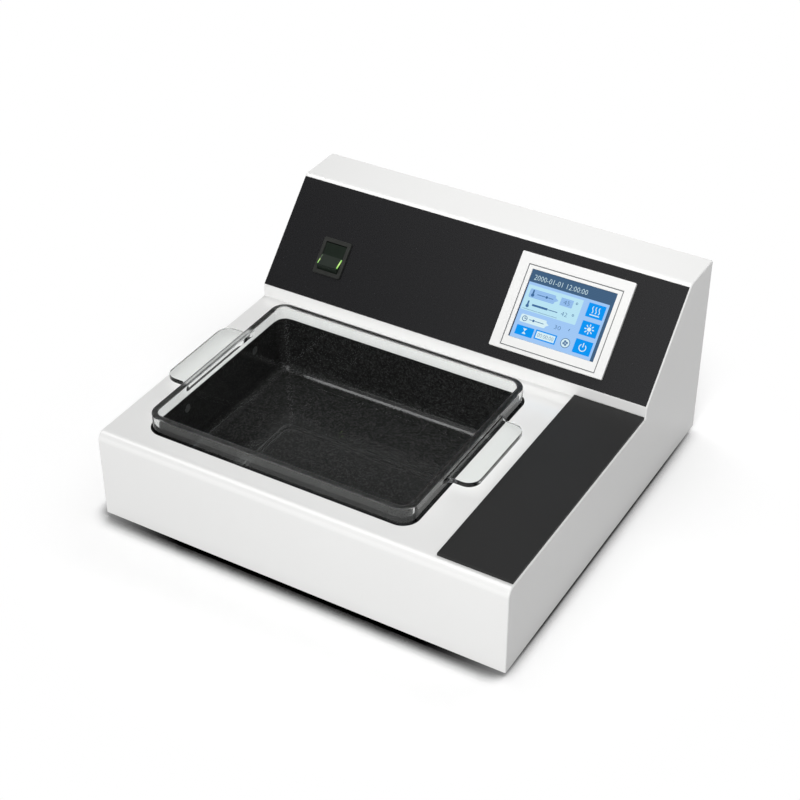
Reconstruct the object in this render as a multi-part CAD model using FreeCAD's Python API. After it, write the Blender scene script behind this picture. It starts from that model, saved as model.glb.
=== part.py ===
import FreeCAD, Part
import math
import os
from FreeCAD import Placement, Rotation, Vector

# Tissue flotation bath with a slide-drying plate. Millimetres, +X right, +Y back, +Z up.
# The origin is on the bench, under the middle of the housing.

# Housing, measured over the outside
WIDTH = 340.0
DEPTH = 327.0
HOUSING_HEIGHT = 155.0
FOOT_STAND = 5.0
DECK_HEIGHT = 74.0
CONSOLE_DEPTH = 108.5
RISER_HEIGHT = 10.5
SLOPE_ANGLE = 46.0
SHEET = 1.5
FRONT_RADIUS = 7.0
RIDGE_RADIUS = 6.0
RISER_TOP_RADIUS = 1.0
RISER_FOOT_RADIUS = 0.8
TOP_BACK_RADIUS = 1.5
EDGE_RADIUS = 1.2
LIP_WIDTH = 12.0

# Base plate, feet and rear panel
BASE_THICK = 1.5
REAR_INSET = 4.0
REAR_THICK = 1.5
PANEL_GAP = 0.3
FOOT_RADIUS = 10.0
FOOT_SOLE_RADIUS = 8.5
FOOT_FROM_SIDE = 30.0
FOOT_FROM_FRONT = 30.0
FOOT_FROM_BACK = 32.0
FOOT_POCKET_RADIUS = 4.6
FOOT_POCKET_DEPTH = 3.0
BASE_SLOT_WIDTH = 3.5
BASE_SLOT_LENGTH = 40.0
BASE_SLOT_SPACING = 9.0
BASE_SLOT_COUNT = 12
BASE_SLOTS_FROM_BACK = 65.0
BASE_SCREWS_FROM_FRONT = (98.0, 229.0)
BASE_SCREW_SPREAD = 170.0
REAR_SLOT_WIDTH = 3.0
REAR_SLOT_LENGTH = 28.0
REAR_SLOT_SPACING = 8.0
REAR_SLOT_COUNT = 16
REAR_SLOTS_HEIGHT = 100.0
REAR_SCREW_HEIGHTS = (38.0, 108.0)
REAR_SCREW_SPREAD = 170.0

# Fasteners
M4_RADIUS = 2.0
M4_HEAD_RADIUS = 3.9
M4_HEAD_HEIGHT = 2.4
M4_NUT_FLATS = 7.0
M4_NUT_HEIGHT = 3.2
M3_RADIUS = 1.5
M3_HEAD_RADIUS = 2.8
M3_HEAD_HEIGHT = 1.9
M3_LENGTH = 8.0
HOLE_GAP = 0.25
THREAD_GAP = 0.05

# Glass dish
DISH_HEIGHT = 65.0
DISH_STAND = 14.0
DISH_FROM_LEFT = 28.4
DISH_TO_PLATE = 29.9
DISH_FROM_FRONT = 22.2
DISH_FROM_RISER = 18.7
DISH_CORNER = 12.0
DISH_WALL = 4.8
DISH_FLOOR = 5.0
DISH_BASE_RADIUS = 10.0
DISH_INNER_BASE_RADIUS = 7.0
DISH_RIM_RADIUS = 1.6
TAB_LENGTH = 80.0
TAB_REACH = 22.0
TAB_THICK = 4.0
TAB_DROP = 4.6
TAB_SETBACK = 3.5
TAB_CORNER = 10.0
TAB_ROOT = 6.0
TAB_EDGE = 0.8

# Heated well
WELL_GAP = 0.6
WELL_SEAT_GAP = 0.1
WELL_LIP = 0.9
WELL_LIP_GAP = 0.2
WELL_WALL = 2.2
WELL_FLOOR = 3.0
WELL_BASE_RADIUS = 7.0
FLANGE_WIDTH = 10.0
FLANGE_THICK = 2.0
GASKET_THICK = 1.0
STUD_LENGTH = 12.0
STUD_SPREAD_X = 160.0
STUD_SPREAD_Y = 120.0
HEATER_THICK = 1.5
HEATER_MARGIN = 16.0
INSULATION_THICK = 6.0
INSULATION_MARGIN = 14.0
TRAY_THICK = 1.0
TRAY_EDGE = 6.0
TRAY_GAP = 0.5
POST_RADIUS = 4.0
POST_INSET = 14.0

# Well lamps, sensor and cut-out
LENS_RADIUS = 3.5
LENS_FLANGE_RADIUS = 4.3
LENS_FLANGE_THICK = 1.5
LENS_SINK = 0.1
LENS_DROP = 10.0
LENS_SPACING = 90.0
LAMP_BOARD_HEIGHT = 9.5
LAMP_BOARD_THICK = 1.6
LAMP_BOARD_MARGIN = 6.5
LAMP_STANDOFF_SPACING = 46.0
LAMP_STANDOFF_RADIUS = 2.5
SENSOR_RADIUS = 2.5
SENSOR_LENGTH = 28.0
SENSOR_HEIGHT = 16.0
CLIP_HEIGHT = 14.0
CLIP_THICK = 1.0
CLIP_LENGTH = 10.0
CUTOUT_RADIUS = 7.5
CUTOUT_FLANGE_RADIUS = 8.5
CUTOUT_FLANGE_THICK = 1.2
CUTOUT_DEPTH = 9.0
CUTOUT_HEIGHT = 25.0
BLADE_WIDTH = 6.3
BLADE_THICK = 0.8
BLADE_LENGTH = 8.0

# Slide-drying plate
PLATE_WIDTH = 57.3
PLATE_THICK = 2.5
PLATE_FROM_RIGHT = 1.2
PLATE_FROM_FRONT = 7.5
PLATE_FROM_RISER = 1.0
PLATE_EDGE = 0.5
WINDOW_SIDE_MARGIN = 8.65
WINDOW_END_MARGIN = 20.0
PLATE_HEATER_GAP = 0.5
PLATE_INSULATION_THICK = 6.0
PLATE_INSULATION_MARGIN = 3.0
PLATE_CLAMP_WIDTH = 16.0
PLATE_CLAMP_THICK = 1.5
PLATE_CLAMP_END = 6.0
PLATE_STUD_MARGIN = 10.0
PLATE_SENSOR_RADIUS = 4.0
PLATE_SENSOR_THICK = 3.0
PLATE_SENSOR_GAP = 1.0

# Console overlay and screen
OVERLAY_THICK = 0.8
OVERLAY_MARGIN = 1.2
OVERLAY_START = 0.6
OVERLAY_TOP_MARGIN = 2.8
DISPLAY_FROM_RIGHT = 86.6
DISPLAY_BELOW_MIDDLE = 1.5
DISPLAY_WIDTH = 71.4
DISPLAY_HEIGHT = 55.0
DISPLAY_GAP = 0.2
DISPLAY_SINK = 0.8
TOUCH_SIDE_MARGIN = 3.9
TOUCH_FOOT_MARGIN = 7.6
TOUCH_TOP_MARGIN = 3.1
TOUCH_THICK = 1.6
TOUCH_GAP = 0.2
TOUCH_SINK = 0.2
TOUCH_LEDGE = 1.1
BEZEL_LEFT_MARGIN = 8.5
BEZEL_RIGHT_MARGIN = 7.0
BEZEL_FOOT_MARGIN = 3.0
BEZEL_TOP_MARGIN = 8.3
BEZEL_THICK = 2.4
BEZEL_CORNER = 1.0
BEZEL_EDGE = 0.5
SKIRT_WALL = 1.0
SKIRT_DEPTH = 5.4
CUTOUT_GAP = 0.5
BOARD_THICK = 1.6
DISPLAY_CLIP_WIDTH = 8.0
DISPLAY_CLIP_THICK = 1.2
DISPLAY_CLIP_FOOT = 4.0
DISPLAY_CLIP_SPREAD = 40.0
DISPLAY_SCREW_SPREAD = 56.0

# Rocker power switch
SWITCH_FROM_LEFT = 51.7
SWITCH_BELOW_MIDDLE = 12.1
SWITCH_WIDTH = 25.2
SWITCH_HEIGHT = 30.6
SWITCH_FLANGE = 2.0
SWITCH_CORNER = 1.5
SWITCH_BODY_WIDTH = 21.5
SWITCH_BODY_HEIGHT = 27.8
SWITCH_BODY_DEPTH = 22.0
SWITCH_MOUTH_LIP = 1.3
ROCKER_WIDTH = 18.6
ROCKER_SIDE_GAP = 0.35
ROCKER_END_GAP = 0.35
ROCKER_REACH = 12.4
ROCKER_PIVOT_DEPTH = 5.8
ROCKER_CREST = 0.4
ROCKER_TILT = 11.0
ROCKER_KEEL = 4.0
ROCKER_KEEL_HALF = 4.0
ROCKER_CAVITY = 12.0
TRUNNION_RADIUS = 1.5
TRUNNION_GAP = 0.08
TRUNNION_LENGTH = 1.0
LIGHT_SIZE = 0.8
LIGHT_SINK = 0.6
TERMINAL_SPREAD = 11.0

# Mains inlet on the rear panel
INLET_FROM_LEFT = 70.0
INLET_HEIGHT = 40.0
INLET_FLANGE_WIDTH = 50.0
INLET_FLANGE_HEIGHT = 33.0
INLET_FLANGE_THICK = 2.0
INLET_FLANGE_CORNER = 5.0
INLET_BODY_WIDTH = 30.0
INLET_BODY_HEIGHT = 29.0
INLET_BODY_DEPTH = 26.0
INLET_CUTOUT_GAP = 0.3
INLET_SCREW_SPACING = 40.0
SOCKET_WIDTH = 24.6
SOCKET_HEIGHT = 16.4
SOCKET_DEPTH = 17.0
SOCKET_CHAMFER = 4.5
SOCKET_UP = 4.6
PIN_THICK = 2.0
PIN_HEIGHT = 4.0
PIN_SPACING = 7.0
PIN_OFFSET = 2.0
PIN_LENGTH = 14.0
DRAWER_WIDTH = 22.0
DRAWER_HEIGHT = 6.8
DRAWER_LENGTH = 22.0
DRAWER_DOWN = 9.2
DRAWER_GAP = 0.35
DRAWER_FACE = 1.5
FUSE_RADIUS = 2.5
FUSE_CAP_RADIUS = 2.6
FUSE_CAP_LENGTH = 5.0
FUSE_LENGTH = 20.0
FUSE_SPACING = 9.0
FUSE_GAP = 0.15
EARTH_FROM_LEFT = 110.0
EARTH_HEIGHT = 45.0
EARTH_LENGTH = 14.0
WASHER_RADIUS = 4.5
WASHER_THICK = 0.8

# Electronics on the base plate
BOARD_WIDTH = 86.0
BOARD_DEPTH = 85.0
BOARD_FROM_RIGHT = 57.0
BOARD_FROM_BACK = 59.0
BOARD_HOLE_INSET = 5.0
BOARD_BLOCKS = (
    (-20.0, 14.0, 30.0, 34.0, 26.0),
    (8.0, 26.0, 18.0, 16.0, 15.0),
    (14.0, -33.0, 36.0, 10.0, 12.0),
    (-2.0, -13.0, 16.0, 16.0, 2.0),
    (-24.0, -33.0, 22.0, 9.0, 11.0),
)
BOARD_CANS = (
    (28.0, 18.0, 6.5, 20.0),
    (30.0, 2.0, 5.0, 16.0),
    (18.0, -10.0, 4.0, 12.0),
)
STANDOFF_HEIGHT = 8.0
STANDOFF_RADIUS = 3.0
SUPPLY_WIDTH = 82.0
SUPPLY_DEPTH = 99.0
SUPPLY_HEIGHT = 30.0
SUPPLY_FROM_LEFT = 151.0
SUPPLY_FROM_BACK = 61.0
SUPPLY_EDGE = 1.0
SUPPLY_SLOT_COUNT = 8
SUPPLY_SLOT_SPACING = 8.0
SUPPLY_SLOT_WIDTH = 3.0
SUPPLY_SLOT_DEPTH = 2.0
TERMINAL_BLOCK_WIDTH = 60.0
TERMINAL_BLOCK_DEPTH = 10.0
TERMINAL_BLOCK_HEIGHT = 12.0
TERMINAL_WAYS = 6
TERMINAL_POCKET_WIDTH = 8.0
TERMINAL_POCKET_FLOOR = 4.0
TERMINAL_POCKET_SETBACK = 2.5
RELAY_WIDTH = 45.0
RELAY_DEPTH = 58.0
RELAY_HEIGHT = 23.0
RELAY_FROM_LEFT = (36.5, 84.5)
RELAY_FROM_BACK = 76.0
RELAY_STEP = 10.0
RELAY_SCREW_SPACING = 47.6
RELAY_FOOT = 4.0

# Places worked out from the sizes above
LEFT = -WIDTH / 2
RIGHT = WIDTH / 2
FRONT = -DEPTH / 2
BACK = DEPTH / 2
BOTTOM = FOOT_STAND
DECK = BOTTOM + DECK_HEIGHT
TOP = BOTTOM + HOUSING_HEIGHT
RISER = BACK - CONSOLE_DEPTH
SLOPE_FOOT = DECK + RISER_HEIGHT
BASE_TOP = BOTTOM + BASE_THICK
LIP_TOP = BASE_TOP + SHEET
REAR_FACE = BACK - REAR_INSET
REAR_INNER = REAR_FACE - REAR_THICK
DECK_UNDER = DECK - SHEET
DISH_WIDTH = WIDTH - DISH_FROM_LEFT - DISH_TO_PLATE - PLATE_WIDTH - PLATE_FROM_RIGHT
DISH_DEPTH = RISER - FRONT - DISH_FROM_FRONT - DISH_FROM_RISER
DISH_X = LEFT + DISH_FROM_LEFT + DISH_WIDTH / 2
DISH_Y = FRONT + DISH_FROM_FRONT + DISH_DEPTH / 2
DISH_TOP = DECK + DISH_STAND
DISH_BOTTOM = DISH_TOP - DISH_HEIGHT
TAB_Y = DISH_Y + TAB_SETBACK
TAB_TOP = DISH_TOP - TAB_DROP
WELL_INSIDE = DISH_BOTTOM - WELL_SEAT_GAP
WELL_UNDER = WELL_INSIDE - WELL_FLOOR
FLANGE_TOP = DECK_UNDER - GASKET_THICK
FLANGE_UNDER = FLANGE_TOP - FLANGE_THICK
WELL_OUT = WELL_GAP + WELL_WALL
HEATER_UNDER = WELL_UNDER - HEATER_THICK
INSULATION_UNDER = HEATER_UNDER - INSULATION_THICK
TRAY_UNDER = INSULATION_UNDER - TRAY_THICK
LENS_Z = DECK - LENS_DROP
PLATE_LENGTH = RISER - FRONT - PLATE_FROM_FRONT - PLATE_FROM_RISER
PLATE_X = RIGHT - PLATE_FROM_RIGHT - PLATE_WIDTH / 2
PLATE_Y = FRONT + PLATE_FROM_FRONT + PLATE_LENGTH / 2
WINDOW_WIDTH = PLATE_WIDTH - 2 * WINDOW_SIDE_MARGIN
WINDOW_LENGTH = PLATE_LENGTH - 2 * WINDOW_END_MARGIN
PLATE_STUD_SPACING = WINDOW_LENGTH + 2 * PLATE_STUD_MARGIN
PLATE_CLAMP_LENGTH = PLATE_STUD_SPACING + 2 * PLATE_CLAMP_END
PLATE_INSULATION_UNDER = DECK_UNDER - PLATE_INSULATION_THICK
PLATE_CLAMP_UNDER = PLATE_INSULATION_UNDER - PLATE_CLAMP_THICK
SLOPE_LENGTH = (TOP - SLOPE_FOOT) / math.sin(math.radians(SLOPE_ANGLE))
OVERLAY_END = SLOPE_LENGTH - OVERLAY_TOP_MARGIN
DISPLAY_X = WIDTH - DISPLAY_FROM_RIGHT
DISPLAY_UP = SLOPE_LENGTH / 2 - DISPLAY_BELOW_MIDDLE
TOUCH_WIDTH = DISPLAY_WIDTH + 2 * TOUCH_SIDE_MARGIN
TOUCH_HEIGHT = DISPLAY_HEIGHT + TOUCH_FOOT_MARGIN + TOUCH_TOP_MARGIN
TOUCH_X = DISPLAY_X
TOUCH_UP = DISPLAY_UP + (TOUCH_TOP_MARGIN - TOUCH_FOOT_MARGIN) / 2
SKIRT_WIDTH = TOUCH_WIDTH - 2 * TOUCH_LEDGE
SKIRT_HEIGHT = TOUCH_HEIGHT - 2 * TOUCH_LEDGE
BEZEL_WIDTH = TOUCH_WIDTH + 2 * TOUCH_GAP + BEZEL_LEFT_MARGIN + BEZEL_RIGHT_MARGIN
BEZEL_HEIGHT = TOUCH_HEIGHT + 2 * TOUCH_GAP + BEZEL_FOOT_MARGIN + BEZEL_TOP_MARGIN
BEZEL_X = TOUCH_X + (BEZEL_RIGHT_MARGIN - BEZEL_LEFT_MARGIN) / 2
BEZEL_UP = TOUCH_UP + (BEZEL_TOP_MARGIN - BEZEL_FOOT_MARGIN) / 2
SWITCH_UP = SLOPE_LENGTH / 2 - SWITCH_BELOW_MIDDLE
BEZEL_FRONT = OVERLAY_THICK + BEZEL_THICK
TOUCH_FRONT = BEZEL_FRONT - TOUCH_SINK
TOUCH_BACK = TOUCH_FRONT - TOUCH_THICK
SKIRT_END = OVERLAY_THICK - SKIRT_DEPTH
SWITCH_FRONT = OVERLAY_THICK + SWITCH_FLANGE
PIVOT = SWITCH_FRONT - ROCKER_PIVOT_DEPTH
SWITCH_BACK = OVERLAY_THICK - SWITCH_BODY_DEPTH
INLET_X = LEFT + INLET_FROM_LEFT
INLET_Z = BOTTOM + INLET_HEIGHT
INLET_MOUTH = REAR_FACE + INLET_FLANGE_THICK
INLET_BACK = REAR_FACE - INLET_BODY_DEPTH
DRAWER_Z = INLET_Z - DRAWER_DOWN
SOCKET_Z = INLET_Z + SOCKET_UP
BOARD_X = RIGHT - BOARD_FROM_RIGHT
BOARD_Y = BACK - BOARD_FROM_BACK
BOARD_UNDER = BASE_TOP + STANDOFF_HEIGHT
BOARD_TOP = BOARD_UNDER + BOARD_THICK
SUPPLY_X = LEFT + SUPPLY_FROM_LEFT
SUPPLY_Y = BACK - SUPPLY_FROM_BACK
RELAY_Y = BACK - RELAY_FROM_BACK

X_AXIS = Vector(1, 0, 0)
Y_AXIS = Vector(0, 1, 0)
Z_AXIS = Vector(0, 0, 1)


# Building blocks

def block(x0, x1, y0, y1, z0, z1):
    return Part.makeBox(x1 - x0, y1 - y0, z1 - z0, Vector(x0, y0, z0))


def centred(x, y, z0, width, depth, height):
    return block(x - width / 2, x + width / 2, y - depth / 2, y + depth / 2, z0, z0 + height)


def rod(radius, start, end):
    return Part.makeCylinder(radius, (end - start).Length, start, end - start)


def outline(points, radii):
    """Closed flat wire through the corner points, each rounded by its own radius, or sharp at 0."""
    count = len(points)
    stretches = []
    for index, radius in enumerate(radii):
        corner = points[index]
        back = (points[index - 1] - corner).normalize()
        ahead = (points[(index + 1) % count] - corner).normalize()
        if radius == 0:
            stretches.append((corner, None, corner))
            continue
        half = back.getAngle(ahead) / 2
        reach = radius / math.tan(half)
        bisector = (back + ahead).normalize()
        middle = corner + bisector * (radius / math.sin(half) - radius)
        stretches.append((corner + back * reach, middle, corner + ahead * reach))
    edges = []
    for index, (start, middle, end) in enumerate(stretches):
        if middle is not None:
            edges.append(Part.Arc(start, middle, end).toShape())
        following = stretches[(index + 1) % count][0]
        edges.append(Part.LineSegment(end, following).toShape())
    return Part.Wire(edges)


def prism(points, radii, along):
    return Part.Face(outline(points, radii)).extrude(along)


def rounded_block(x, y, z0, z1, width, depth, corner):
    points = [
        Vector(x - width / 2, y - depth / 2, z0),
        Vector(x + width / 2, y - depth / 2, z0),
        Vector(x + width / 2, y + depth / 2, z0),
        Vector(x - width / 2, y + depth / 2, z0),
    ]
    return prism(points, [corner] * 4, Vector(0, 0, z1 - z0))


def edges_at_height(shape, z):
    return [e for e in shape.Edges if abs(e.BoundBox.ZMin - z) < 1e-6 and abs(e.BoundBox.ZMax - z) < 1e-6]


def nut(flats, height, hole, base, along):
    radius = flats / math.sqrt(3)
    angles = [k * math.pi / 3 for k in range(6)]
    corners = [Vector(radius * math.cos(angle), radius * math.sin(angle), 0) for angle in angles]
    shape = prism(corners, [0] * 6, Vector(0, 0, height))
    shape = shape.cut(Part.makeCylinder(hole, height))
    shape.Placement = Placement(base, Rotation(Z_AXIS, along))
    return shape


def screw(radius, head_radius, head_height, base, along, length):
    """Pan-head screw: the head's underside is at base, and the shank runs along."""
    shank = rod(radius, base, base + along * length)
    crown = head_height / 3
    rim = base - along * (head_height - crown)
    head = rod(head_radius, base, rim)
    cone = Part.makeCone(head_radius, head_radius - crown, crown, rim, -along)
    return shank.fuse([head, cone]).removeSplitter()


def m4_screw(base, along, length):
    return screw(M4_RADIUS, M4_HEAD_RADIUS, M4_HEAD_HEIGHT, base, along, length)


def m4_nut(base, along):
    return nut(M4_NUT_FLATS, M4_NUT_HEIGHT, M4_RADIUS + THREAD_GAP, base, along)


def m3_screw(base, along, length):
    return screw(M3_RADIUS, M3_HEAD_RADIUS, M3_HEAD_HEIGHT, base, along, length)


def m4_hole(start, end):
    return rod(M4_RADIUS + HOLE_GAP, start, end)


def m3_hole(start, end):
    return rod(M3_RADIUS + HOLE_GAP, start, end)


def upright_hole(x, y, z0, z1):
    """Clearance hole for an M4 screw, up through sheet between two heights."""
    return m4_hole(Vector(x, y, z0 - 1), Vector(x, y, z1 + 1))


def rear_hole(x, z, y0, y1):
    """Clearance hole for an M3 screw, through an upright panel."""
    return m3_hole(Vector(x, y0 - 1, z), Vector(x, y1 + 1, z))


def on_slope(shape):
    """Puts a shape drawn flat (x from the left side, y up the slope, z out of it) on the console slope."""
    slope = Placement(Vector(LEFT, RISER, SLOPE_FOOT), Rotation(X_AXIS, SLOPE_ANGLE))
    shape.Placement = slope.multiply(shape.Placement)
    return shape


def slot(x, y, z0, z1, width, length):
    """Slot-shaped prism that runs along Y, with round ends."""
    return rounded_block(x, y, z0, z1, width, length, width / 2 - 0.01)


def group(shapes):
    return Part.makeCompound(shapes)


# Places that several pieces share

def foot_places():
    xs = (LEFT + FOOT_FROM_SIDE, RIGHT - FOOT_FROM_SIDE)
    ys = (FRONT + FOOT_FROM_FRONT, BACK - FOOT_FROM_BACK)
    return [(x, y) for x in xs for y in ys]


def base_screw_places():
    side = LIP_WIDTH / 2 + SHEET
    xs = (LEFT + side, RIGHT - side)
    along_side = [(x, FRONT + distance) for x in xs for distance in BASE_SCREWS_FROM_FRONT]
    along_front = [(sx * BASE_SCREW_SPREAD / 2, FRONT + side) for sx in (-1, 1)]
    return along_side + along_front


def rear_screw_places():
    side = LIP_WIDTH / 2 + SHEET
    at_sides = [(x, BOTTOM + height) for x in (LEFT + side, RIGHT - side) for height in REAR_SCREW_HEIGHTS]
    at_top = [(sx * REAR_SCREW_SPREAD / 2, TOP - side) for sx in (-1, 1)]
    return at_sides + at_top


def well_stud_places():
    ring = WELL_OUT + FLANGE_WIDTH / 2
    reach_x = DISH_WIDTH / 2 + ring
    reach_y = DISH_DEPTH / 2 + ring
    corners = [(sx, sy) for sx in (-1, 1) for sy in (-1, 1)]
    at_sides = [(DISH_X + sx * reach_x, DISH_Y + sy * STUD_SPREAD_Y / 2) for sx, sy in corners]
    at_ends = [(DISH_X + sx * STUD_SPREAD_X / 2, DISH_Y + sy * reach_y) for sx, sy in corners]
    return at_sides + at_ends


def plate_stud_places():
    return [(PLATE_X, PLATE_Y + side * PLATE_STUD_SPACING / 2) for side in (-1, 1)]


def board_hole_places():
    reach_x = BOARD_WIDTH / 2 - BOARD_HOLE_INSET
    reach_y = BOARD_DEPTH / 2 - BOARD_HOLE_INSET
    return [(BOARD_X + sx * reach_x, BOARD_Y + sy * reach_y) for sx in (-1, 1) for sy in (-1, 1)]


def relay_screw_places():
    xs = [LEFT + distance for distance in RELAY_FROM_LEFT]
    return [(x, RELAY_Y + side * RELAY_SCREW_SPACING / 2) for x in xs for side in (-1, 1)]


def lamp_places():
    """Lamp ports as (side, y): side -1 is the left wall of the well and 1 the right wall."""
    return [(side, TAB_Y + end * LENS_SPACING / 2) for side in (-1, 1) for end in (-1, 1)]


def well_wall_x(side, out):
    return DISH_X + side * (DISH_WIDTH / 2 + out)


# Housing

def housing_profile(x, inset, floor, back):
    """Side view of the housing as corner points and radii, drawn in by inset from the outside."""
    angle = math.radians(SLOPE_ANGLE)
    riser = RISER + inset
    foot_y = RISER + inset * math.sin(angle)
    foot_z = SLOPE_FOOT - inset * math.cos(angle)
    top = TOP - inset
    points = [
        Vector(x, FRONT + inset, floor),
        Vector(x, FRONT + inset, DECK - inset),
        Vector(x, riser, DECK - inset),
        Vector(x, riser, foot_z + (riser - foot_y) * math.tan(angle)),
        Vector(x, foot_y + (top - foot_z) / math.tan(angle), top),
        Vector(x, back, top),
        Vector(x, back, floor),
    ]
    bends = [0, FRONT_RADIUS - inset, RISER_FOOT_RADIUS + inset, 0, RIDGE_RADIUS - inset, 0, 0]
    if inset == 0:
        bends[3] = RISER_TOP_RADIUS
        bends[5] = TOP_BACK_RADIUS
    return points, bends


def housing_lips():
    """Inner return lips that the base plate and the rear panel screw to."""
    inside = LIP_WIDTH + SHEET
    sides = []
    for x0, x1 in ((LEFT + SHEET, LEFT + inside), (RIGHT - inside, RIGHT - SHEET)):
        sides.append(block(x0, x1, FRONT + SHEET, REAR_INNER, BASE_TOP, LIP_TOP))
        sides.append(block(x0, x1, REAR_INNER - SHEET, REAR_INNER, BASE_TOP, TOP - SHEET))
    front = block(LEFT + SHEET, RIGHT - SHEET, FRONT + SHEET, FRONT + inside, BASE_TOP, LIP_TOP)
    top = block(LEFT + SHEET, RIGHT - SHEET, REAR_INNER - SHEET, REAR_INNER, TOP - inside, TOP - SHEET)
    return sides + [front, top]


def deck_opening():
    return well_ring(WELL_GAP + WELL_LIP + WELL_LIP_GAP, DECK_UNDER - SHEET, DECK + SHEET)


def slope_cutouts(depth):
    """Windows through the console for the screen's skirt and the switch's case, drawn flat."""
    screen = centred(
        TOUCH_X, TOUCH_UP, -depth,
        SKIRT_WIDTH + 2 * CUTOUT_GAP, SKIRT_HEIGHT + 2 * CUTOUT_GAP, 2 * depth)
    switch = centred(
        SWITCH_FROM_LEFT, SWITCH_UP, -depth,
        SWITCH_BODY_WIDTH + 2 * CUTOUT_GAP, SWITCH_BODY_HEIGHT + 2 * CUTOUT_GAP, 2 * depth)
    return screen.fuse(switch)


def housing():
    points, radii = housing_profile(LEFT, 0, BOTTOM, BACK)
    shell = prism(points, radii, Vector(WIDTH, 0, 0))
    side_edges = [
        e for e in shell.Edges
        if e.BoundBox.XLength < 1e-6 and e.BoundBox.ZMax > BOTTOM + 1e-6 and e.BoundBox.YMin < BACK - 1e-6]
    shell = shell.makeFillet(EDGE_RADIUS, side_edges)
    points, radii = housing_profile(LEFT + SHEET, SHEET, BOTTOM - SHEET, BACK + SHEET)
    shell = shell.cut(prism(points, radii, Vector(WIDTH - 2 * SHEET, 0, 0)))
    shell = shell.fuse(housing_lips()).removeSplitter()
    window = centred(PLATE_X, PLATE_Y, DECK_UNDER - SHEET, WINDOW_WIDTH, WINDOW_LENGTH, 3 * SHEET)
    holes = [upright_hole(x, y, BASE_TOP, LIP_TOP) for x, y in base_screw_places()]
    holes += [rear_hole(x, z, REAR_INNER - SHEET, REAR_INNER) for x, z in rear_screw_places()]
    holes += [upright_hole(x, y, DECK_UNDER, DECK) for x, y in plate_stud_places()]
    return shell.cut([deck_opening(), window, on_slope(slope_cutouts(3 * SHEET))] + holes)


# Base plate, feet and rear panel

def base_plate():
    inside = SHEET + PANEL_GAP
    plate = block(LEFT + inside, RIGHT - inside, FRONT + inside, REAR_FACE, BOTTOM, BASE_TOP)
    middle = (BASE_SLOT_COUNT - 1) / 2
    slots = []
    for index in range(BASE_SLOT_COUNT):
        x = (index - middle) * BASE_SLOT_SPACING
        y = BACK - BASE_SLOTS_FROM_BACK
        slots.append(slot(x, y, BOTTOM - 1, BASE_TOP + 1, BASE_SLOT_WIDTH, BASE_SLOT_LENGTH))
    holes = [upright_hole(x, y, BOTTOM, BASE_TOP) for x, y in foot_places() + base_screw_places()]
    return plate.cut(slots + holes)


def base_screws():
    length = BASE_THICK + SHEET + M4_NUT_HEIGHT
    shapes = []
    for x, y in base_screw_places():
        shapes.append(m4_screw(Vector(x, y, BOTTOM), Z_AXIS, length))
        shapes.append(m4_nut(Vector(x, y, LIP_TOP), Z_AXIS))
    return group(shapes)


def rubber_feet():
    shapes = []
    for x, y in foot_places():
        foot = Part.makeCone(FOOT_SOLE_RADIUS, FOOT_RADIUS, FOOT_STAND, Vector(x, y, 0))
        pocket = rod(FOOT_POCKET_RADIUS, Vector(x, y, 0), Vector(x, y, FOOT_POCKET_DEPTH))
        shapes.append(foot.cut([pocket, m4_hole(Vector(x, y, 0), Vector(x, y, FOOT_STAND))]))
    return group(shapes)


def foot_screws():
    length = BASE_TOP - FOOT_POCKET_DEPTH + M4_NUT_HEIGHT
    shapes = []
    for x, y in foot_places():
        shapes.append(m4_screw(Vector(x, y, FOOT_POCKET_DEPTH), Z_AXIS, length))
        shapes.append(m4_nut(Vector(x, y, BASE_TOP), Z_AXIS))
    return group(shapes)


def rear_panel():
    inside = SHEET + PANEL_GAP
    panel = block(LEFT + inside, RIGHT - inside, REAR_INNER, REAR_FACE, BASE_TOP, TOP - inside)
    middle = (REAR_SLOT_COUNT - 1) / 2
    cuts = []
    for index in range(REAR_SLOT_COUNT):
        vent = slot(0, 0, 0, 3 * REAR_THICK, REAR_SLOT_WIDTH, REAR_SLOT_LENGTH)
        place = Vector((index - middle) * REAR_SLOT_SPACING, REAR_FACE + REAR_THICK, BOTTOM + REAR_SLOTS_HEIGHT)
        vent.Placement = Placement(place, Rotation(X_AXIS, 90))
        cuts.append(vent)
    gap = 2 * INLET_CUTOUT_GAP
    cuts.append(block(
        INLET_X - INLET_BODY_WIDTH / 2 - gap / 2, INLET_X + INLET_BODY_WIDTH / 2 + gap / 2,
        REAR_INNER - 1, REAR_FACE + 1,
        INLET_Z - INLET_BODY_HEIGHT / 2 - gap / 2, INLET_Z + INLET_BODY_HEIGHT / 2 + gap / 2))
    cuts += [rear_hole(x, z, REAR_INNER, REAR_FACE) for x, z in rear_screw_places() + inlet_screw_places()]
    earth = Vector(LEFT + EARTH_FROM_LEFT, REAR_FACE, BOTTOM + EARTH_HEIGHT)
    stud = rod(M4_RADIUS, earth, earth - Y_AXIS * (REAR_THICK + EARTH_LENGTH))
    return panel.cut(cuts).fuse(stud).removeSplitter()


def rear_screws():
    return group([m3_screw(Vector(x, REAR_FACE, z), -Y_AXIS, M3_LENGTH) for x, z in rear_screw_places()])


def earth_nuts():
    start = Vector(LEFT + EARTH_FROM_LEFT, REAR_INNER, BOTTOM + EARTH_HEIGHT)
    washer = rod(WASHER_RADIUS, start, start - Y_AXIS * WASHER_THICK)
    washer = washer.cut(rod(M4_RADIUS + THREAD_GAP, start, start - Y_AXIS * WASHER_THICK))
    return group([washer, m4_nut(start - Y_AXIS * WASHER_THICK, -Y_AXIS)])


# Dish

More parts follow.
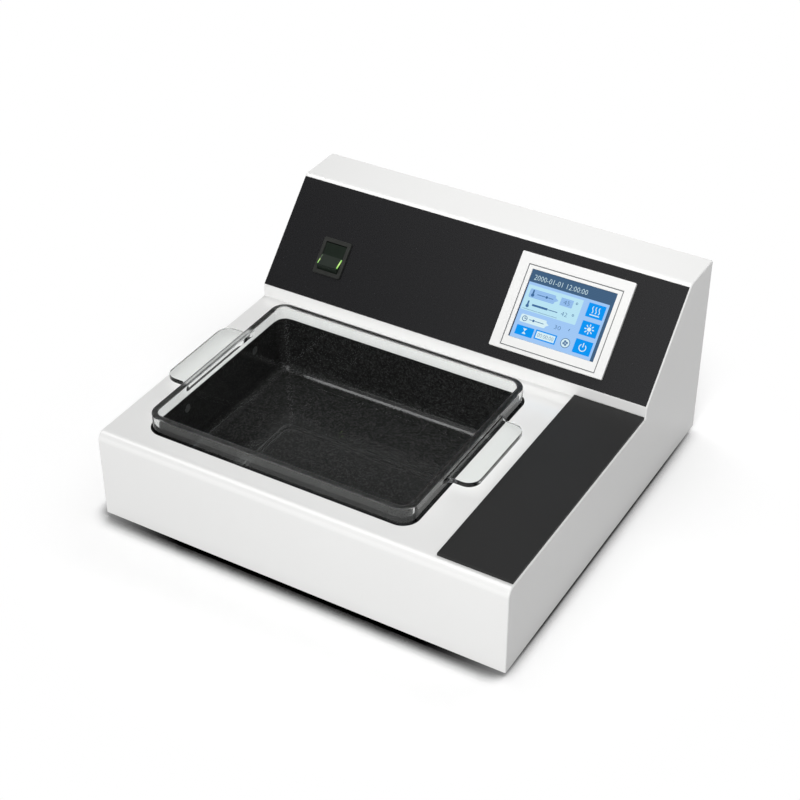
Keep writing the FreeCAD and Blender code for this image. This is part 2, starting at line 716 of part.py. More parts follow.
def dish_tab(side):
    """Flat tab handle on one side of the dish: side -1 is left and 1 right."""
    wall = DISH_WIDTH / 2
    overlap = DISH_WALL / 2
    half = TAB_LENGTH / 2
    past = half + TAB_ROOT + 1
    z = TAB_TOP - TAB_THICK
    corners = [
        (wall - overlap, -past), (wall, -past), (wall, -half), (wall + TAB_REACH, -half),
        (wall + TAB_REACH, half), (wall, half), (wall, past), (wall - overlap, past)]
    radii = [0, 0, TAB_ROOT, TAB_CORNER, TAB_CORNER, TAB_ROOT, 0, 0]
    points = [Vector(DISH_X + side * x, TAB_Y + y, z) for x, y in corners]
    tab = prism(points, radii, Vector(0, 0, TAB_THICK))
    limit = wall + 0.5
    outer = [
        e for e in edges_at_height(tab, z) + edges_at_height(tab, TAB_TOP)
        if side * (e.CenterOfMass.x - DISH_X) > limit]
    return tab.makeFillet(TAB_EDGE, outer)


def glass_dish():
    body = rounded_block(DISH_X, DISH_Y, DISH_BOTTOM, DISH_TOP, DISH_WIDTH, DISH_DEPTH, DISH_CORNER)
    body = body.makeFillet(DISH_BASE_RADIUS, edges_at_height(body, DISH_BOTTOM))
    inside = DISH_BOTTOM + DISH_FLOOR
    hollow = rounded_block(
        DISH_X, DISH_Y, inside, DISH_TOP + DISH_WALL,
        DISH_WIDTH - 2 * DISH_WALL, DISH_DEPTH - 2 * DISH_WALL, DISH_CORNER - DISH_WALL)
    hollow = hollow.makeFillet(DISH_INNER_BASE_RADIUS, edges_at_height(hollow, inside))
    body = body.cut(hollow)
    body = body.makeFillet(DISH_RIM_RADIUS, edges_at_height(body, DISH_TOP))
    return body.fuse([dish_tab(-1), dish_tab(1)]).removeSplitter()


# Well

def well_ring(out, z0, z1):
    """Solid rounded block that stands out from the dish's outside by out."""
    return rounded_block(DISH_X, DISH_Y, z0, z1, DISH_WIDTH + 2 * out, DISH_DEPTH + 2 * out, DISH_CORNER + out)


def heated_well():
    shape = well_ring(WELL_OUT, WELL_UNDER, FLANGE_TOP)
    shape = shape.makeFillet(WELL_BASE_RADIUS + WELL_WALL, edges_at_height(shape, WELL_UNDER))
    flange = well_ring(WELL_OUT + FLANGE_WIDTH, FLANGE_UNDER, FLANGE_TOP)
    lip = well_ring(WELL_GAP + WELL_LIP, FLANGE_TOP, DECK)
    hollow = well_ring(WELL_GAP, WELL_INSIDE, DECK + 1)
    hollow = hollow.makeFillet(WELL_BASE_RADIUS, edges_at_height(hollow, WELL_INSIDE))
    holes = [upright_hole(x, y, FLANGE_UNDER, FLANGE_TOP) for x, y in well_stud_places()]
    for side, y in lamp_places():
        through = Vector(well_wall_x(side, 2 * WELL_OUT), y, LENS_Z)
        holes.append(rod(LENS_RADIUS + THREAD_GAP, Vector(DISH_X, y, LENS_Z), through))
    return shape.fuse([flange, lip]).removeSplitter().cut([hollow] + holes)


def well_gasket():
    ring = well_ring(WELL_OUT + FLANGE_WIDTH, FLANGE_TOP, DECK_UNDER)
    inner = well_ring(WELL_OUT, FLANGE_TOP - 1, DECK_UNDER + 1)
    holes = [upright_hole(x, y, FLANGE_TOP, DECK_UNDER) for x, y in well_stud_places()]
    return ring.cut([inner] + holes)


def well_studs():
    end = DECK_UNDER - STUD_LENGTH
    return group([rod(M4_RADIUS, Vector(x, y, DECK_UNDER), Vector(x, y, end)) for x, y in well_stud_places()])


def well_nuts():
    return group([m4_nut(Vector(x, y, FLANGE_UNDER), -Z_AXIS) for x, y in well_stud_places()])


def under_well(margin, z0, z1):
    return centred(DISH_X, DISH_Y, z0, DISH_WIDTH - 2 * margin, DISH_DEPTH - 2 * margin, z1 - z0)


def well_heater():
    return under_well(HEATER_MARGIN, HEATER_UNDER, WELL_UNDER)


def well_insulation():
    return under_well(INSULATION_MARGIN, INSULATION_UNDER, HEATER_UNDER)


def insulation_tray():
    edge = INSULATION_MARGIN - TRAY_GAP - TRAY_THICK
    tray = under_well(edge, TRAY_UNDER, INSULATION_UNDER + TRAY_EDGE - TRAY_GAP)
    return tray.cut(under_well(edge + TRAY_THICK, INSULATION_UNDER, HEATER_UNDER + TRAY_EDGE))


def tray_posts():
    reach_x = DISH_WIDTH / 2 - INSULATION_MARGIN - POST_INSET
    reach_y = DISH_DEPTH / 2 - INSULATION_MARGIN - POST_INSET
    shapes = []
    for sx in (-1, 1):
        for sy in (-1, 1):
            foot = Vector(DISH_X + sx * reach_x, DISH_Y + sy * reach_y, BASE_TOP)
            shapes.append(rod(POST_RADIUS, foot, Vector(foot.x, foot.y, TRAY_UNDER)))
    return group(shapes)


def lamp_lenses():
    shapes = []
    for side, y in lamp_places():
        inner = Vector(well_wall_x(side, WELL_GAP + LENS_SINK), y, LENS_Z)
        wall = Vector(well_wall_x(side, WELL_OUT), y, LENS_Z)
        outer = Vector(well_wall_x(side, WELL_OUT + LENS_FLANGE_THICK), y, LENS_Z)
        shapes.append(rod(LENS_RADIUS, inner, wall).fuse(rod(LENS_FLANGE_RADIUS, wall, outer)).removeSplitter())
    return group(shapes)


def lamp_standoff_places(side):
    x = well_wall_x(side, WELL_OUT)
    return [Vector(x, TAB_Y + end * LAMP_STANDOFF_SPACING / 2, LENS_Z) for end in (-1, 1)]


def lamp_boards():
    half = LENS_SPACING / 2 + LAMP_BOARD_MARGIN
    shapes = []
    for side in (-1, 1):
        xs = sorted(well_wall_x(side, WELL_OUT + LENS_FLANGE_THICK + step) for step in (0, LAMP_BOARD_THICK))
        low = LENS_Z - LAMP_BOARD_HEIGHT / 2
        board = block(xs[0], xs[1], TAB_Y - half, TAB_Y + half, low, low + LAMP_BOARD_HEIGHT)
        out = X_AXIS * (side * 2 * (LENS_FLANGE_THICK + LAMP_BOARD_THICK))
        shapes.append(board.cut([m3_hole(place, place + out) for place in lamp_standoff_places(side)]))
    return group(shapes)


def lamp_standoffs():
    shapes = []
    for side in (-1, 1):
        for place in lamp_standoff_places(side):
            out = X_AXIS * side
            spacer = rod(LAMP_STANDOFF_RADIUS, place, place + out * LENS_FLANGE_THICK)
            head = place + out * (LENS_FLANGE_THICK + LAMP_BOARD_THICK)
            fixing = m3_screw(head, -out, LAMP_BOARD_THICK + LENS_FLANGE_THICK / 2)
            shapes.append(spacer.fuse(fixing).removeSplitter())
    return group(shapes)


def well_sensor():
    x = well_wall_x(1, WELL_OUT + SENSOR_RADIUS)
    z = WELL_INSIDE + SENSOR_HEIGHT
    front = Vector(x, DISH_Y - SENSOR_LENGTH / 2, z)
    return rod(SENSOR_RADIUS, front, front + Y_AXIS * SENSOR_LENGTH)


def sensor_clip():
    wall = well_wall_x(1, WELL_OUT)
    z = WELL_INSIDE + SENSOR_HEIGHT
    y0 = DISH_Y - CLIP_LENGTH / 2
    y1 = DISH_Y + CLIP_LENGTH / 2
    shape = block(wall, wall + CLIP_THICK, y0, y1, z - CLIP_HEIGHT / 2, z + CLIP_HEIGHT / 2)
    middle = Vector(wall + SENSOR_RADIUS, y0, z)
    bore = SENSOR_RADIUS + THREAD_GAP
    hump = rod(bore + CLIP_THICK, middle, middle + Y_AXIS * CLIP_LENGTH)
    hump = hump.common(block(wall, wall + 4 * SENSOR_RADIUS, y0, y1, z - CLIP_HEIGHT, z + CLIP_HEIGHT))
    inside = rod(bore, middle, middle + Y_AXIS * CLIP_LENGTH)
    throat = block(wall, middle.x, y0, y1, z - bore, z + bore)
    return shape.fuse(hump).removeSplitter().cut(inside.fuse(throat))


def thermal_cutout():
    wall = Vector(DISH_X, DISH_Y + DISH_DEPTH / 2 + WELL_OUT, WELL_INSIDE + CUTOUT_HEIGHT)
    flange = rod(CUTOUT_FLANGE_RADIUS, wall, wall + Y_AXIS * CUTOUT_FLANGE_THICK)
    body = rod(CUTOUT_RADIUS, wall, wall + Y_AXIS * CUTOUT_DEPTH)
    shape = flange.fuse(body)
    for side in (-1, 1):
        x = wall.x + side * CUTOUT_RADIUS / 2
        y = wall.y + CUTOUT_DEPTH + BLADE_LENGTH / 2
        shape = shape.fuse(centred(x, y, wall.z - BLADE_WIDTH / 2, BLADE_THICK, BLADE_LENGTH, BLADE_WIDTH))
    return shape.removeSplitter()


# Slide-drying plate

def slide_plate():
    plate = centred(PLATE_X, PLATE_Y, DECK, PLATE_WIDTH, PLATE_LENGTH, PLATE_THICK)
    return plate.makeFillet(PLATE_EDGE, edges_at_height(plate, DECK + PLATE_THICK))


def plate_sensor_hole(z0, z1):
    radius = PLATE_SENSOR_RADIUS + PLATE_SENSOR_GAP
    return rod(radius, Vector(PLATE_X, PLATE_Y, z0), Vector(PLATE_X, PLATE_Y, z1))


def plate_heater():
    gap = 2 * PLATE_HEATER_GAP
    mat = centred(PLATE_X, PLATE_Y, DECK_UNDER, WINDOW_WIDTH - gap, WINDOW_LENGTH - gap, SHEET)
    return mat.cut(plate_sensor_hole(DECK_UNDER - 1, DECK + 1))


def plate_insulation():
    spread = 2 * PLATE_INSULATION_MARGIN
    pad = centred(
        PLATE_X, PLATE_Y, PLATE_INSULATION_UNDER,
        WINDOW_WIDTH + spread, WINDOW_LENGTH + spread, PLATE_INSULATION_THICK)
    return pad.cut(plate_sensor_hole(DECK - PLATE_SENSOR_THICK - PLATE_SENSOR_GAP, DECK))


def plate_clamp():
    bar = centred(PLATE_X, PLATE_Y, PLATE_CLAMP_UNDER, PLATE_CLAMP_WIDTH, PLATE_CLAMP_LENGTH, PLATE_CLAMP_THICK)
    holes = [m4_hole(Vector(x, y, PLATE_CLAMP_UNDER - 1), Vector(x, y, DECK)) for x, y in plate_stud_places()]
    return bar.cut(holes)


def plate_studs():
    end = PLATE_CLAMP_UNDER - 2 * M4_NUT_HEIGHT
    return group([rod(M4_RADIUS, Vector(x, y, DECK), Vector(x, y, end)) for x, y in plate_stud_places()])


def plate_nuts():
    shapes = []
    for x, y in plate_stud_places():
        shapes.append(m4_nut(Vector(x, y, DECK_UNDER), -Z_AXIS))
        shapes.append(m4_nut(Vector(x, y, PLATE_CLAMP_UNDER), -Z_AXIS))
    return group(shapes)


def plate_sensor():
    top = Vector(PLATE_X, PLATE_Y, DECK)
    return rod(PLATE_SENSOR_RADIUS, top, top - Z_AXIS * PLATE_SENSOR_THICK)


# Console

def console_overlay():
    length = OVERLAY_END - OVERLAY_START
    sheet = centred(WIDTH / 2, OVERLAY_START + length / 2, 0, WIDTH - 2 * OVERLAY_MARGIN, length, OVERLAY_THICK)
    return on_slope(sheet.cut(slope_cutouts(3 * SHEET)))


def screen_bezel():
    frame = rounded_block(
        BEZEL_X, BEZEL_UP, OVERLAY_THICK, BEZEL_FRONT, BEZEL_WIDTH, BEZEL_HEIGHT, BEZEL_CORNER)
    frame = frame.makeFillet(BEZEL_EDGE, edges_at_height(frame, BEZEL_FRONT))
    skirt = centred(TOUCH_X, TOUCH_UP, SKIRT_END, SKIRT_WIDTH, SKIRT_HEIGHT, SKIRT_DEPTH)
    recess = centred(
        TOUCH_X, TOUCH_UP, TOUCH_BACK,
        TOUCH_WIDTH + 2 * TOUCH_GAP, TOUCH_HEIGHT + 2 * TOUCH_GAP, 2 * TOUCH_THICK)
    window = centred(
        TOUCH_X, TOUCH_UP, SKIRT_END - 1,
        SKIRT_WIDTH - 2 * SKIRT_WALL, SKIRT_HEIGHT - 2 * SKIRT_WALL, 3 * SKIRT_DEPTH)
    return on_slope(frame.fuse(skirt).removeSplitter().cut([recess, window]))


def touch_panel():
    panel = centred(TOUCH_X, TOUCH_UP, TOUCH_BACK, TOUCH_WIDTH, TOUCH_HEIGHT, TOUCH_THICK)
    window = centred(
        DISPLAY_X, DISPLAY_UP, TOUCH_BACK - 1,
        DISPLAY_WIDTH, DISPLAY_HEIGHT, 3 * TOUCH_THICK)
    return on_slope(panel.cut(window))


def display_plane(width_gap, z0, z1):
    return centred(
        TOUCH_X, TOUCH_UP, z0,
        SKIRT_WIDTH - 2 * SKIRT_WALL - width_gap, SKIRT_HEIGHT - 2 * SKIRT_WALL - width_gap, z1 - z0)


def lcd_panel():
    body = display_plane(2 * DISPLAY_GAP, SKIRT_END + BOARD_THICK, TOUCH_BACK - DISPLAY_GAP)
    glass = centred(
        DISPLAY_X, DISPLAY_UP, SKIRT_END + BOARD_THICK,
        DISPLAY_WIDTH - 2 * DISPLAY_GAP, DISPLAY_HEIGHT - 2 * DISPLAY_GAP,
        TOUCH_FRONT - DISPLAY_SINK - SKIRT_END - BOARD_THICK)
    return on_slope(body.fuse(glass).removeSplitter())


def display_screw_places():
    return [
        (TOUCH_X + sx * DISPLAY_SCREW_SPREAD / 2, TOUCH_UP + sy * DISPLAY_CLIP_SPREAD / 2)
        for sx in (-1, 1) for sy in (-1, 1)]


def display_board():
    board = display_plane(2 * DISPLAY_GAP, SKIRT_END, SKIRT_END + BOARD_THICK)
    top = SKIRT_END + BOARD_THICK
    holes = [m3_hole(Vector(x, y, SKIRT_END - 1), Vector(x, y, top)) for x, y in display_screw_places()]
    return on_slope(board.cut(holes))


def display_clips():
    half = SKIRT_WIDTH / 2 + CUTOUT_GAP
    z0 = SKIRT_END - DISPLAY_CLIP_THICK
    shapes = []
    for side in (-1, 1):
        y = TOUCH_UP + side * DISPLAY_CLIP_SPREAD / 2
        width = 2 * (half + DISPLAY_CLIP_FOOT)
        bar = centred(TOUCH_X, y, z0, width, DISPLAY_CLIP_WIDTH, DISPLAY_CLIP_THICK)
        for end in (-1, 1):
            x = TOUCH_X + end * (half + DISPLAY_CLIP_FOOT / 2 + DISPLAY_CLIP_THICK / 2)
            foot_width = DISPLAY_CLIP_FOOT - DISPLAY_CLIP_THICK
            bar = bar.fuse(centred(x, y, z0, foot_width, DISPLAY_CLIP_WIDTH, -SHEET - z0))
        through = Z_AXIS * (2 * DISPLAY_CLIP_THICK)
        starts = [Vector(px, py, z0 - DISPLAY_CLIP_THICK / 2) for px, py in display_screw_places()]
        holes = [m3_hole(place, place + through) for place in starts]
        shapes.append(on_slope(bar.removeSplitter().cut(holes)))
    return group(shapes)


def display_screws():
    z = SKIRT_END - DISPLAY_CLIP_THICK
    length = DISPLAY_CLIP_THICK + BOARD_THICK
    return group([on_slope(m3_screw(Vector(x, y, z), Z_AXIS, length)) for x, y in display_screw_places()])


# Power switch, drawn flat about its own middle: y up the slope, z out of it

def at_switch(shape):
    shape.Placement = Placement(Vector(SWITCH_FROM_LEFT, SWITCH_UP, 0), Rotation()).multiply(shape.Placement)
    return on_slope(shape)


def switch_body():
    flange = rounded_block(0, 0, OVERLAY_THICK, SWITCH_FRONT, SWITCH_WIDTH, SWITCH_HEIGHT, SWITCH_CORNER)
    flange = flange.makeFillet(BEZEL_EDGE, edges_at_height(flange, SWITCH_FRONT))
    case = centred(0, 0, SWITCH_BACK, SWITCH_BODY_WIDTH, SWITCH_BODY_HEIGHT, SWITCH_BODY_DEPTH)
    inside = ROCKER_WIDTH + 2 * ROCKER_SIDE_GAP
    mouth_drop = SWITCH_FRONT - SWITCH_MOUTH_LIP
    reach = math.sqrt(ROCKER_REACH ** 2 - (mouth_drop - PIVOT) ** 2)
    mouth = centred(0, 0, PIVOT, inside, 2 * (reach + ROCKER_END_GAP), SWITCH_FRONT - PIVOT + 1)
    cavity_floor = SWITCH_FRONT - ROCKER_CAVITY
    cavity_length = 2 * (ROCKER_REACH + ROCKER_END_GAP)
    cavity = centred(0, 0, cavity_floor, inside, cavity_length, mouth_drop - cavity_floor)
    half = SWITCH_BODY_WIDTH / 2 + 1
    bearing = rod(TRUNNION_RADIUS + TRUNNION_GAP, Vector(-half, 0, PIVOT), Vector(half, 0, PIVOT))
    return at_switch(flange.fuse(case).removeSplitter().cut([mouth, cavity, bearing]))


def rocker_section(x):
    """Side view of the untipped rocker: a shallow V on top, round ends about the pivot, a keel below."""
    slope = math.tan(math.radians(ROCKER_TILT))
    crest = SWITCH_FRONT - ROCKER_CREST - PIVOT
    square = 1 + slope ** 2
    root = math.sqrt((crest * slope) ** 2 + square * (ROCKER_REACH ** 2 - crest ** 2))
    end = (root - crest * slope) / square
    tip = crest + end * slope
    bow = math.radians(45)
    corners = {
        'crest': Vector(x, 0, PIVOT + crest),
        'upper tip': Vector(x, end, PIVOT + tip),
        'upper bow': Vector(x, ROCKER_REACH * math.cos(bow / 2), PIVOT + ROCKER_REACH * math.sin(bow / 2)),
        'upper heel': Vector(x, ROCKER_REACH, PIVOT),
        'upper keel': Vector(x, ROCKER_KEEL_HALF, PIVOT - ROCKER_KEEL),
        'lower keel': Vector(x, -ROCKER_KEEL_HALF, PIVOT - ROCKER_KEEL),
        'lower heel': Vector(x, -ROCKER_REACH, PIVOT),
        'lower bow': Vector(x, -ROCKER_REACH * math.cos(bow / 2), PIVOT + ROCKER_REACH * math.sin(bow / 2)),
        'lower tip': Vector(x, -end, PIVOT + tip),
    }
    edges = [
        Part.LineSegment(corners['crest'], corners['upper tip']).toShape(),
        Part.Arc(corners['upper tip'], corners['upper bow'], corners['upper heel']).toShape(),
        Part.LineSegment(corners['upper heel'], corners['upper keel']).toShape(),
        Part.LineSegment(corners['upper keel'], corners['lower keel']).toShape(),
        Part.LineSegment(corners['lower keel'], corners['lower heel']).toShape(),
        Part.Arc(corners['lower heel'], corners['lower bow'], corners['lower tip']).toShape(),
        Part.LineSegment(corners['lower tip'], corners['crest']).toShape(),
    ]
    return Part.Face(Part.Wire(edges)), corners


def tipped(shape):
    """Tips the rocker to its on position: the upper end in, the lower end out."""
    shape.rotate(Vector(0, 0, PIVOT), X_AXIS, -ROCKER_TILT)
    return shape


def light_strips():
    """Square light guides along the side edges of the rocker's lower half, before it is tipped."""
    corners = rocker_section(0)[1]
    crest = corners['crest']
    along = (corners['lower tip'] - crest).normalize()
    inward = X_AXIS.cross(along)
    start = crest + along * LIGHT_SINK
    end = corners['lower tip'] - along * LIGHT_SINK
    shapes = []
    for side in (-1, 1):
        shift = X_AXIS * (side * ROCKER_WIDTH / 2)
        sink = shift + inward * LIGHT_SIZE
        points = [start + shift, end + shift, end + sink, start + sink]
        shapes.append(prism(points, [0] * 4, X_AXIS * (-side * LIGHT_SIZE)))
    return shapes


def switch_rocker():
    face = rocker_section(-ROCKER_WIDTH / 2)[0]
    shape = face.extrude(Vector(ROCKER_WIDTH, 0, 0))
    half = ROCKER_WIDTH / 2 + TRUNNION_LENGTH
    trunnion = rod(TRUNNION_RADIUS, Vector(-half, 0, PIVOT), Vector(half, 0, PIVOT))
    shape = shape.fuse(trunnion).removeSplitter().cut(light_strips())
    return at_switch(tipped(shape))


def rocker_light():
    return group([at_switch(tipped(shape)) for shape in light_strips()])


def switch_terminals():
    shapes = []
    for sx in (-1, 1):
        for sy in (-1, 1):
            shapes.append(at_switch(centred(
                sx * TERMINAL_SPREAD / 2, sy * TERMINAL_SPREAD / 2, SWITCH_BACK - BLADE_LENGTH,
                BLADE_WIDTH, BLADE_THICK, BLADE_LENGTH)))
    return group(shapes)


# Mains inlet

def inlet_screw_places():
    return [(INLET_X + side * INLET_SCREW_SPACING / 2, INLET_Z) for side in (-1, 1)]


def socket_hollow():
    half = SOCKET_WIDTH / 2
    low = SOCKET_Z - SOCKET_HEIGHT / 2
    high = SOCKET_Z + SOCKET_HEIGHT / 2
    y = INLET_MOUTH - SOCKET_DEPTH
    corners = [
        (-half, low), (half, low), (half, high - SOCKET_CHAMFER), (half - SOCKET_CHAMFER, high),
        (SOCKET_CHAMFER - half, high), (-half, high - SOCKET_CHAMFER)]
    points = [Vector(INLET_X + x, y, z) for x, z in corners]
    return prism(points, [0] * len(points), Vector(0, SOCKET_DEPTH + 1, 0))


def drawer_block(gap, y0, y1):
    height = DRAWER_HEIGHT + 2 * gap
    return centred(INLET_X, (y0 + y1) / 2, DRAWER_Z - height / 2, DRAWER_WIDTH + 2 * gap, y1 - y0, height)


def inlet_body():
    half = INLET_FLANGE_WIDTH / 2
    low = INLET_Z - INLET_FLANGE_HEIGHT / 2
    high = INLET_Z + INLET_FLANGE_HEIGHT / 2
    points = [
        Vector(INLET_X - half, REAR_FACE, low), Vector(INLET_X + half, REAR_FACE, low),
        Vector(INLET_X + half, REAR_FACE, high), Vector(INLET_X - half, REAR_FACE, high)]
    flange = prism(points, [INLET_FLANGE_CORNER] * 4, Vector(0, INLET_FLANGE_THICK, 0))
    case = block(
        INLET_X - INLET_BODY_WIDTH / 2, INLET_X + INLET_BODY_WIDTH / 2, INLET_BACK, REAR_FACE,
        INLET_Z - INLET_BODY_HEIGHT / 2, INLET_Z + INLET_BODY_HEIGHT / 2)
    slot_end = INLET_MOUTH - DRAWER_LENGTH - DRAWER_GAP
    cuts = [socket_hollow(), drawer_block(DRAWER_GAP, slot_end, INLET_MOUTH + 1)]
    cuts += [rear_hole(x, z, REAR_FACE, INLET_MOUTH) for x, z in inlet_screw_places()]
    for x, z in pin_places():
        cuts.append(pin_blade(x, z, INLET_BACK - 1, INLET_MOUTH - SOCKET_DEPTH + 1))
    return flange.fuse(case).removeSplitter().cut(cuts)


def pin_places():
    steps = ((-1, -1), (0, 1), (1, -1))
    return [(INLET_X + step * PIN_SPACING, SOCKET_Z + rise * PIN_OFFSET) for step, rise in steps]


def pin_blade(x, z, y0, y1):
    return block(x - PIN_THICK / 2, x + PIN_THICK / 2, y0, y1, z - PIN_HEIGHT / 2, z + PIN_HEIGHT / 2)


def inlet_pins():
    floor = INLET_MOUTH - SOCKET_DEPTH
    return group([pin_blade(x, z, INLET_BACK - BLADE_LENGTH, floor + PIN_LENGTH) for x, z in pin_places()])


def inlet_screws():
    shapes = []
    for x, z in inlet_screw_places():
        shapes.append(m3_screw(Vector(x, INLET_MOUTH, z), -Y_AXIS, M3_LENGTH + INLET_FLANGE_THICK))
    return group(shapes)


def fuse_line(x, z):
    inner = INLET_MOUTH - DRAWER_FACE - FUSE_GAP
    return Vector(x, inner, z), Vector(x, inner - FUSE_LENGTH, z)


def fuse_places():
    return [(INLET_X + side * FUSE_SPACING / 2, DRAWER_Z) for side in (-1, 1)]


def fuse_drawer():
    shape = drawer_block(0, INLET_MOUTH - DRAWER_LENGTH, INLET_MOUTH)
    pockets = []
    radius = FUSE_CAP_RADIUS + FUSE_GAP
    for x, z in fuse_places():
        start, end = fuse_line(x, z)
        start = start + Y_AXIS * FUSE_GAP
        end = end - Y_AXIS * FUSE_GAP
        pockets.append(rod(radius, start, end))
        pockets.append(block(x - radius, x + radius, end.y, start.y, z, z + DRAWER_HEIGHT))
    return shape.cut(pockets)


def fuses():
    shapes = []
    for x, z in fuse_places():
        start, end = fuse_line(x, z)
        tube = rod(FUSE_RADIUS, start, end)
        first = rod(FUSE_CAP_RADIUS, start, start - Y_AXIS * FUSE_CAP_LENGTH)
        last = rod(FUSE_CAP_RADIUS, end, end + Y_AXIS * FUSE_CAP_LENGTH)
        shapes.append(tube.fuse([first, last]).removeSplitter())
    return group(shapes)


# Electronics

def control_board():
    board = centred(BOARD_X, BOARD_Y, BOARD_UNDER, BOARD_WIDTH, BOARD_DEPTH, BOARD_THICK)
    through = Z_AXIS * (3 * BOARD_THICK)
    starts = [Vector(x, y, BOARD_UNDER - BOARD_THICK) for x, y in board_hole_places()]
    return board.cut([m3_hole(place, place + through) for place in starts])


def board_components():
    """Transformer, relay, capacitors, connectors and chip, each standing on the control board."""
    shapes = []
    for x, y, width, depth, height in BOARD_BLOCKS:
        shapes.append(centred(BOARD_X + x, BOARD_Y + y, BOARD_TOP, width, depth, height))
    for x, y, radius, height in BOARD_CANS:
        foot = Vector(BOARD_X + x, BOARD_Y + y, BOARD_TOP)
        shapes.append(rod(radius, foot, foot + Z_AXIS * height))
    return group(shapes)


def board_standoffs():
    shapes = []
    for x, y in board_hole_places():
        foot = Vector(x, y, BASE_TOP)
        post = rod(STANDOFF_RADIUS, foot, Vector(x, y, BOARD_UNDER))
        shapes.append(post.cut(rod(M3_RADIUS + THREAD_GAP, foot, Vector(x, y, BOARD_UNDER))))
    return group(shapes)


def board_screws():
    return group([m3_screw(Vector(x, y, BOARD_TOP), -Z_AXIS, STANDOFF_HEIGHT) for x, y in board_hole_places()])


def power_supply():
    case = centred(SUPPLY_X, SUPPLY_Y, BASE_TOP, SUPPLY_WIDTH, SUPPLY_DEPTH, SUPPLY_HEIGHT)
    top = BASE_TOP + SUPPLY_HEIGHT
    case = case.makeFillet(SUPPLY_EDGE, edges_at_height(case, top))
    front = SUPPLY_Y - SUPPLY_DEPTH / 2
    ledge = centred(
        SUPPLY_X, front, BASE_TOP + TERMINAL_BLOCK_HEIGHT,
        2 * SUPPLY_WIDTH, 2 * TERMINAL_BLOCK_DEPTH, SUPPLY_HEIGHT)
    middle = (SUPPLY_SLOT_COUNT - 1) / 2
    slots = []
    for index in range(SUPPLY_SLOT_COUNT):
        x = SUPPLY_X + (index - middle) * SUPPLY_SLOT_SPACING
        slots.append(slot(x, SUPPLY_Y, top - SUPPLY_SLOT_DEPTH, top + 1, SUPPLY_SLOT_WIDTH, SUPPLY_DEPTH / 2))
    return case.cut([ledge] + slots)


def supply_terminals():
    y = SUPPLY_Y - SUPPLY_DEPTH / 2 + TERMINAL_BLOCK_DEPTH / 2
    base = BASE_TOP + TERMINAL_BLOCK_HEIGHT
    strip = centred(SUPPLY_X, y, base, TERMINAL_BLOCK_WIDTH, TERMINAL_BLOCK_DEPTH, TERMINAL_BLOCK_HEIGHT)
    pitch = TERMINAL_BLOCK_WIDTH / TERMINAL_WAYS
    cuts = []
    for way in range(TERMINAL_WAYS):
        x = SUPPLY_X + (way - (TERMINAL_WAYS - 1) / 2) * pitch
        cuts.append(centred(
            x, y - TERMINAL_POCKET_SETBACK, base + TERMINAL_POCKET_FLOOR,
            TERMINAL_POCKET_WIDTH, TERMINAL_BLOCK_DEPTH, TERMINAL_BLOCK_HEIGHT))
    return strip.cut(cuts)


def solid_state_relays():
    shapes = []
    for distance in RELAY_FROM_LEFT:
        x = LEFT + distance
        body = centred(x, RELAY_Y, BASE_TOP, RELAY_WIDTH, RELAY_DEPTH, RELAY_HEIGHT)
        for side in (-1, 1):
            y = RELAY_Y + side * (RELAY_DEPTH - RELAY_STEP) / 2
            step = centred(x, y, BASE_TOP + RELAY_FOOT, RELAY_WIDTH, RELAY_STEP, RELAY_HEIGHT)
            hole = upright_hole(x, RELAY_Y + side * RELAY_SCREW_SPACING / 2, BASE_TOP, BASE_TOP + RELAY_FOOT)
            body = body.cut([step, hole])
        shapes.append(body)
    return group(shapes)


def relay_screws():
    top = BASE_TOP + RELAY_FOOT
    return group([m4_screw(Vector(x, y, top), -Z_AXIS, RELAY_FOOT) for x, y in relay_screw_places()])


PIECES = [
    housing, base_plate, base_screws, rubber_feet, foot_screws, rear_panel, rear_screws, earth_nuts,
    glass_dish, heated_well, well_gasket, well_studs, well_nuts, well_heater, well_insulation,
    insulation_tray, tray_posts, lamp_lenses, lamp_boards, lamp_standoffs,
    well_sensor, sensor_clip, thermal_cutout,
    slide_plate, plate_heater, plate_insulation, plate_clamp, plate_studs, plate_nuts, plate_sensor,
    console_overlay, screen_bezel, touch_panel, lcd_panel, display_board, display_clips, display_screws,
    switch_body, switch_rocker, rocker_light, switch_terminals,
    inlet_body, inlet_pins, inlet_screws, fuse_drawer, fuses,
    control_board, board_components, board_standoffs, board_screws, power_supply, supply_terminals,
    solid_state_relays, relay_screws,
]

os.makedirs("parts", exist_ok=True)
for piece in PIECES:
    piece().exportStep("parts/" + piece.__name__ + ".step")
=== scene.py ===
"""Looks of a bench-top tissue flotation bath: finishes, glass, lit screen, screw heads and stage."""

import math

import bmesh
import bpy
from bpy.props import FloatProperty, FloatVectorProperty, PointerProperty, StringProperty
from mathutils import Euler, Matrix, Vector


